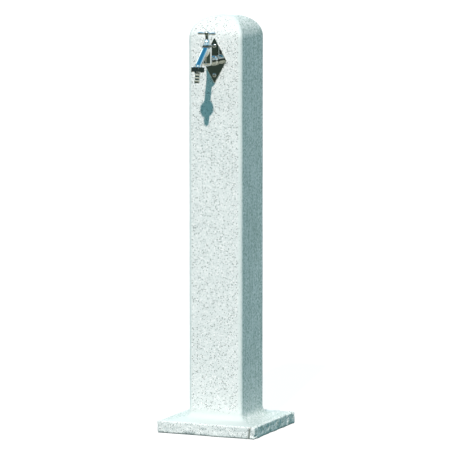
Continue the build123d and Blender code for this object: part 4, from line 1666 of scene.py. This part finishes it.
@dataclass
class MirrorPlate:
    """Diamond-shaped plate with eased edges, and the two screws that hold it.

    Attributes:
        ease: width of the eased edge.
        corner_r: rounding of its corners.
        hole_r: radius of the hole round the tap's inlet.
        screw_offset: height of the screws above and below the inlet.
    """

    ease: float = 0.45
    corner_r: float = 1.5
    hole_r: float = 10.83
    screw_offset: float = 35.0

    def build(self, paint: Paintbox, tap: TapSizes) -> None:
        """Make the plate as a ring between its outline and its hole, and the screws.

        Args:
            paint: finishes and installs the pieces.
            tap: the tap's shared sizes.
        """
        low, high = node_box("mirror_plate")
        wide, tall = float(high[0]) + self.corner_r, float(high[2] - low[2]) / 2 + self.corner_r
        middle = (wide / 2, tall / 2, 0.0)
        tips = ((0, tall), (-wide, 0), (0, -tall), (wide, 0))
        corners = [middle, *((*tip, self.corner_r) for tip in tips), middle]
        outline = split_runs(rounded_profile(corners, 6), 2.0)[:-1]
        scale = np.array((float(high[0]), float(high[2] - low[2]) / 2)) / np.abs(outline).max(axis=0)
        outline = outline * scale
        inner = outline / np.linalg.norm(outline, axis=1)[:, None] * self.hole_r
        inset = 1 - self.ease / (wide * tall / math.hypot(wide, tall))
        back, front = float(high[1]), float(low[1])
        beside, shoulder = outline * (2 * inset - 1), outline * (1 - (1 - inset) * 0.3)
        loops = [
            (inner, back), (beside, back), (outline * inset, back), (outline, back - self.ease * 0.5),
            (outline, front + self.ease * 0.7), (shoulder, front + self.ease * 0.2),
            (outline * inset, front), (beside, front), (inner, front)]
        rows = np.stack([
            np.column_stack((loop[:, 0], np.full(len(loop), y), loop[:, 1] + tap.inlet_z))
            for loop, y in loops])
        plate = mesh_of("diamond_mirror_plate", [Patch(rows, ring=True)], 24)
        paint.install(plate, Slot.MIRROR, Body.ROOT, "mirror_plate")
        seats = [np.array((0.0, front, tap.inlet_z + side * self.screw_offset)) for side in (-1, 1)]
        patches = [dome_screw(seat, FRONT, 4.8, 2.8, 2.45, 14.5) for seat in seats]
        screws = mesh_of("plate_dome_screws", patches, TURNED_CREASE)
        paint.install(screws, Slot.SCREW, Body.ROOT, "mirror_screws")


@dataclass
class LockScrews:
    """The two screws through the back of the foot's rim.

    Attributes:
        head_r: radius of a head.
        head_h: its height.
        shank_r: radius of the shank.
        length: its length.
    """

    head_r: float = 5.25
    head_h: float = 3.3
    shank_r: float = 2.95
    length: float = 16.0

    def build(self, paint: Paintbox) -> None:
        """Make both screws.

        Args:
            paint: finishes and installs the piece.
        """
        low, high = node_box("lock_screws")
        spread, height = float(high[0]) - self.head_r, float(low[2] + high[2]) / 2
        seats = [np.array((side * spread, high[1] - self.head_h, height)) for side in (-1, 1)]
        sizes = (self.head_r, self.head_h, self.shank_r, self.length)
        patches = [dome_screw(seat, -FRONT, *sizes) for seat in seats]
        screws = mesh_of("rim_lock_screws", patches, TURNED_CREASE)
        paint.install(screws, Slot.SCREW, Body.ROOT, "lock_screws")


# ---------------------------------------------------------------- camera, light and floor


# Colour ramps over height, 0 straight down, 0.5 level and 1 straight up. The first two stops are
# the ramp's ends. Matt surfaces get a cool fill; bright metal mirrors the other ramp.
FILL_BANDS = (
    (0.0, (0.02, 0.10, 0.12, 1)), (1.0, (0.15, 0.33, 0.37, 1)),
    (0.44, (0.04, 0.17, 0.19, 1)), (0.52, (0.22, 0.46, 0.50, 1)),
)
MIRRORED_BANDS = (
    (0.0, (0.30, 0.30, 0.22, 1)), (1.0, (0.03, 0.24, 0.48, 1)),
    (0.30, (0.80, 0.80, 0.66, 1)), (0.395, (0.75, 0.75, 0.60, 1)),     # sunlit gravel
    (0.42, (0.07, 0.09, 0.06, 1)), (0.47, (0.055, 0.08, 0.065, 1)),    # foot of a hedge
    (0.54, (0.02, 0.035, 0.03, 1)), (0.60, (0.03, 0.05, 0.05, 1)),     # the dark hedge
    (0.625, (0.90, 0.96, 0.96, 1)), (0.72, (0.75, 0.92, 0.98, 1)),     # haze
    (0.78, (0.18, 0.55, 0.78, 1)),                                     # blue sky
)


@dataclass
class Studio:
    """Camera at the tap's right front, a warm key light, a cool soft fill and a pale floor.

    Attributes:
        azimuth: camera angle from the tap's side, towards +X, in degrees.
        elevation: camera angle above the horizon, in degrees.
        distance: camera to the object, in metres.
        view_width: what the frame spans at the object, in metres.
        target: the point that the camera looks at, in metres.
        key_azimuth: direction of the key light, in degrees, as for the camera.
        key_elevation: height of the key light, in degrees.
        wall_azimuth: direction of the pale patch that the chrome's right edges mirror.
        wall_elevation: its height, in degrees.
    """

    azimuth: float = 23.3
    elevation: float = 7.1
    distance: float = 10.0
    view_width: float = 1.091
    target: tuple[float, float, float] = (0.0020, 0.0, 0.4895)
    key_azimuth: float = 11.7
    key_elevation: float = 45.0
    wall_azimuth: float = 120.0
    wall_elevation: float = 0.0

    @staticmethod
    def direction(azimuth: float, elevation: float) -> Vector:
        """Unit vector from the object towards an azimuth and elevation in degrees."""
        turn, rise = math.radians(azimuth), math.radians(elevation)
        level = math.cos(rise)
        return Vector((math.sin(turn) * level, -math.cos(turn) * level, math.sin(rise)))

    def camera(self) -> None:
        """A long lens, so the upright edges stay parallel."""
        data = bpy.data.cameras.new("camera")
        data.sensor_width = 36.0
        data.lens = data.sensor_width * self.distance / self.view_width
        data.clip_end = 100.0
        camera = bpy.data.objects.new("camera", data)
        towards = self.direction(self.azimuth, self.elevation)
        camera.location = Vector(self.target) + towards * self.distance
        camera.rotation_euler = towards.to_track_quat("Z", "Y").to_euler()
        bpy.context.scene.collection.objects.link(camera)
        bpy.context.scene.camera = camera

    def lamp(
        self, name: str, azimuth: float, elevation: float, energy: float, spread: float, colour: str
    ) -> None:
        """A far-off light.

        Args:
            name: the light's name.
            azimuth: where it shines from, in degrees, as for the camera.
            elevation: its height, in degrees.
            energy: its strength.
            spread: how wide it looks, in degrees, which softens its shadows.
            colour: sRGB hex colour.
        """
        data = bpy.data.lights.new(name, "SUN")
        data.energy = energy
        data.angle = math.radians(spread)
        data.color = linear(colour)[:3]
        lamp = bpy.data.objects.new(name, data)
        towards = self.direction(azimuth, elevation)
        lamp.rotation_euler = towards.to_track_quat("Z", "Y").to_euler()
        bpy.context.scene.collection.objects.link(lamp)

    def world(self) -> None:
        """White for the camera, a cool fill for matt surfaces, open sky for bright metal."""
        world = bpy.data.worlds.new("studio")
        bpy.context.scene.world = world
        world.use_nodes = True
        tree = world.node_tree
        tree.nodes.clear()
        path = add_node(tree, "ShaderNodeLightPath")
        ray = add_node(tree, "ShaderNodeTexCoord").outputs["Generated"]
        height = add_node(tree, "ShaderNodeSeparateXYZ", {0: ray}).outputs["Z"]
        level = add_node(tree, "ShaderNodeMath", {0: height, 1: 0.5, 2: 0.5}, operation="MULTIPLY_ADD")
        fill = add_node(tree, "ShaderNodeValToRGB", {"Fac": level.outputs[0]}, stops=FILL_BANDS)
        hedge = add_node(tree, "ShaderNodeTexNoise", {"Vector": ray, "Scale": 2.6, "Detail": 3.0})
        ragged = add_node(tree, "ShaderNodeMath", {
            0: hedge.outputs["Fac"], 1: 0.16, 2: level.outputs[0]}, operation="MULTIPLY_ADD")
        edge = add_node(tree, "ShaderNodeMath", {0: ragged.outputs[0], 1: 0.08}, operation="SUBTRACT")
        sky = add_node(tree, "ShaderNodeValToRGB", {"Fac": edge.outputs[0]}, stops=MIRRORED_BANDS)
        mirrored = sky.outputs[0]
        glows = (
            (self.key_azimuth, self.key_elevation, 0.955, 0.985, (1.6, 1.6, 1.5, 1)),
            (self.wall_azimuth, self.wall_elevation, 0.945, 0.965, (0.86, 0.92, 0.88, 1)),
        )
        for azimuth, elevation, rim, core, tint in glows:
            centre = tuple(self.direction(azimuth, elevation))
            facing = add_node(tree, "ShaderNodeVectorMath", {0: ray, 1: centre}, operation="DOT_PRODUCT")
            glow = add_node(tree, "ShaderNodeMapRange", {
                "Value": facing.outputs["Value"], "From Min": rim, "From Max": core})
            mirrored = add_node(tree, "ShaderNodeMix", {
                "Factor": glow.outputs["Result"], "A": mirrored, "B": tint},
                data_type="RGBA").outputs["Result"]
        soft = add_node(tree, "ShaderNodeBackground", {"Color": fill.outputs[0]})
        bright = add_node(tree, "ShaderNodeBackground", {"Color": mirrored})
        white = add_node(tree, "ShaderNodeBackground", {"Color": (1, 1, 1, 1)})
        lit = add_node(tree, "ShaderNodeMixShader", {
            0: path.outputs["Is Glossy Ray"], 1: soft.outputs[0], 2: bright.outputs[0]})
        seen = add_node(tree, "ShaderNodeMixShader", {
            0: path.outputs["Is Camera Ray"], 1: lit.outputs[0], 2: white.outputs[0]})
        add_node(tree, "ShaderNodeOutputWorld", {"Surface": seen.outputs[0]})

    def floor(self) -> None:
        """A pale light table: it glows enough to keep the object's shadow faint."""
        material, tree, _ = new_material("opal_light_table")
        matt = add_node(tree, "ShaderNodeBsdfDiffuse", {"Color": linear("F4F4F4")})
        glow = add_node(tree, "ShaderNodeEmission", {"Color": (1, 1, 1, 1), "Strength": 1.15})
        both = add_node(tree, "ShaderNodeMixShader", {0: 0.82, 1: matt.outputs[0], 2: glow.outputs[0]})
        close_material(tree, both)
        mesh = bpy.data.meshes.new("floor")
        reach = 40.0
        corners = [(-reach, -reach, 0), (reach, -reach, 0), (reach, reach, 0), (-reach, reach, 0)]
        mesh.from_pydata(corners, [], [(0, 1, 2, 3)])
        mesh.materials.append(material)
        floor = bpy.data.objects.new("floor", mesh)
        floor.location.z = -0.0002
        floor.visible_diffuse = False
        floor.visible_glossy = False
        bpy.context.scene.collection.objects.link(floor)

    def build(self) -> None:
        """Set up everything that isn't the object."""
        bpy.context.scene.view_settings.view_transform = "Standard"
        self.camera()
        self.lamp("key", self.key_azimuth, self.key_elevation, 3.65, 1.6, "FFF1EA")
        self.lamp("back_fill", 215.0, 25.0, 0.9, 40.0, "E4F2F2")
        self.world()
        self.floor()
        log.info("studio ready")


def main() -> None:
    """Build the visual model in order."""
    logging.basicConfig(level=logging.INFO, format="%(name)s: %(message)s")
    Studio().build()
    paint = Paintbox()
    paint.dress_nodes()
    Casing().build(paint)
    tap = TapSizes()
    TapBody().build(paint, tap)
    Headwork().build(paint, tap)
    Handle().build(paint, tap)
    HoseUnion().build(paint, tap)
    MirrorPlate().build(paint, tap)
    LockScrews().build(paint)


if __name__ == "__main__":
    main()
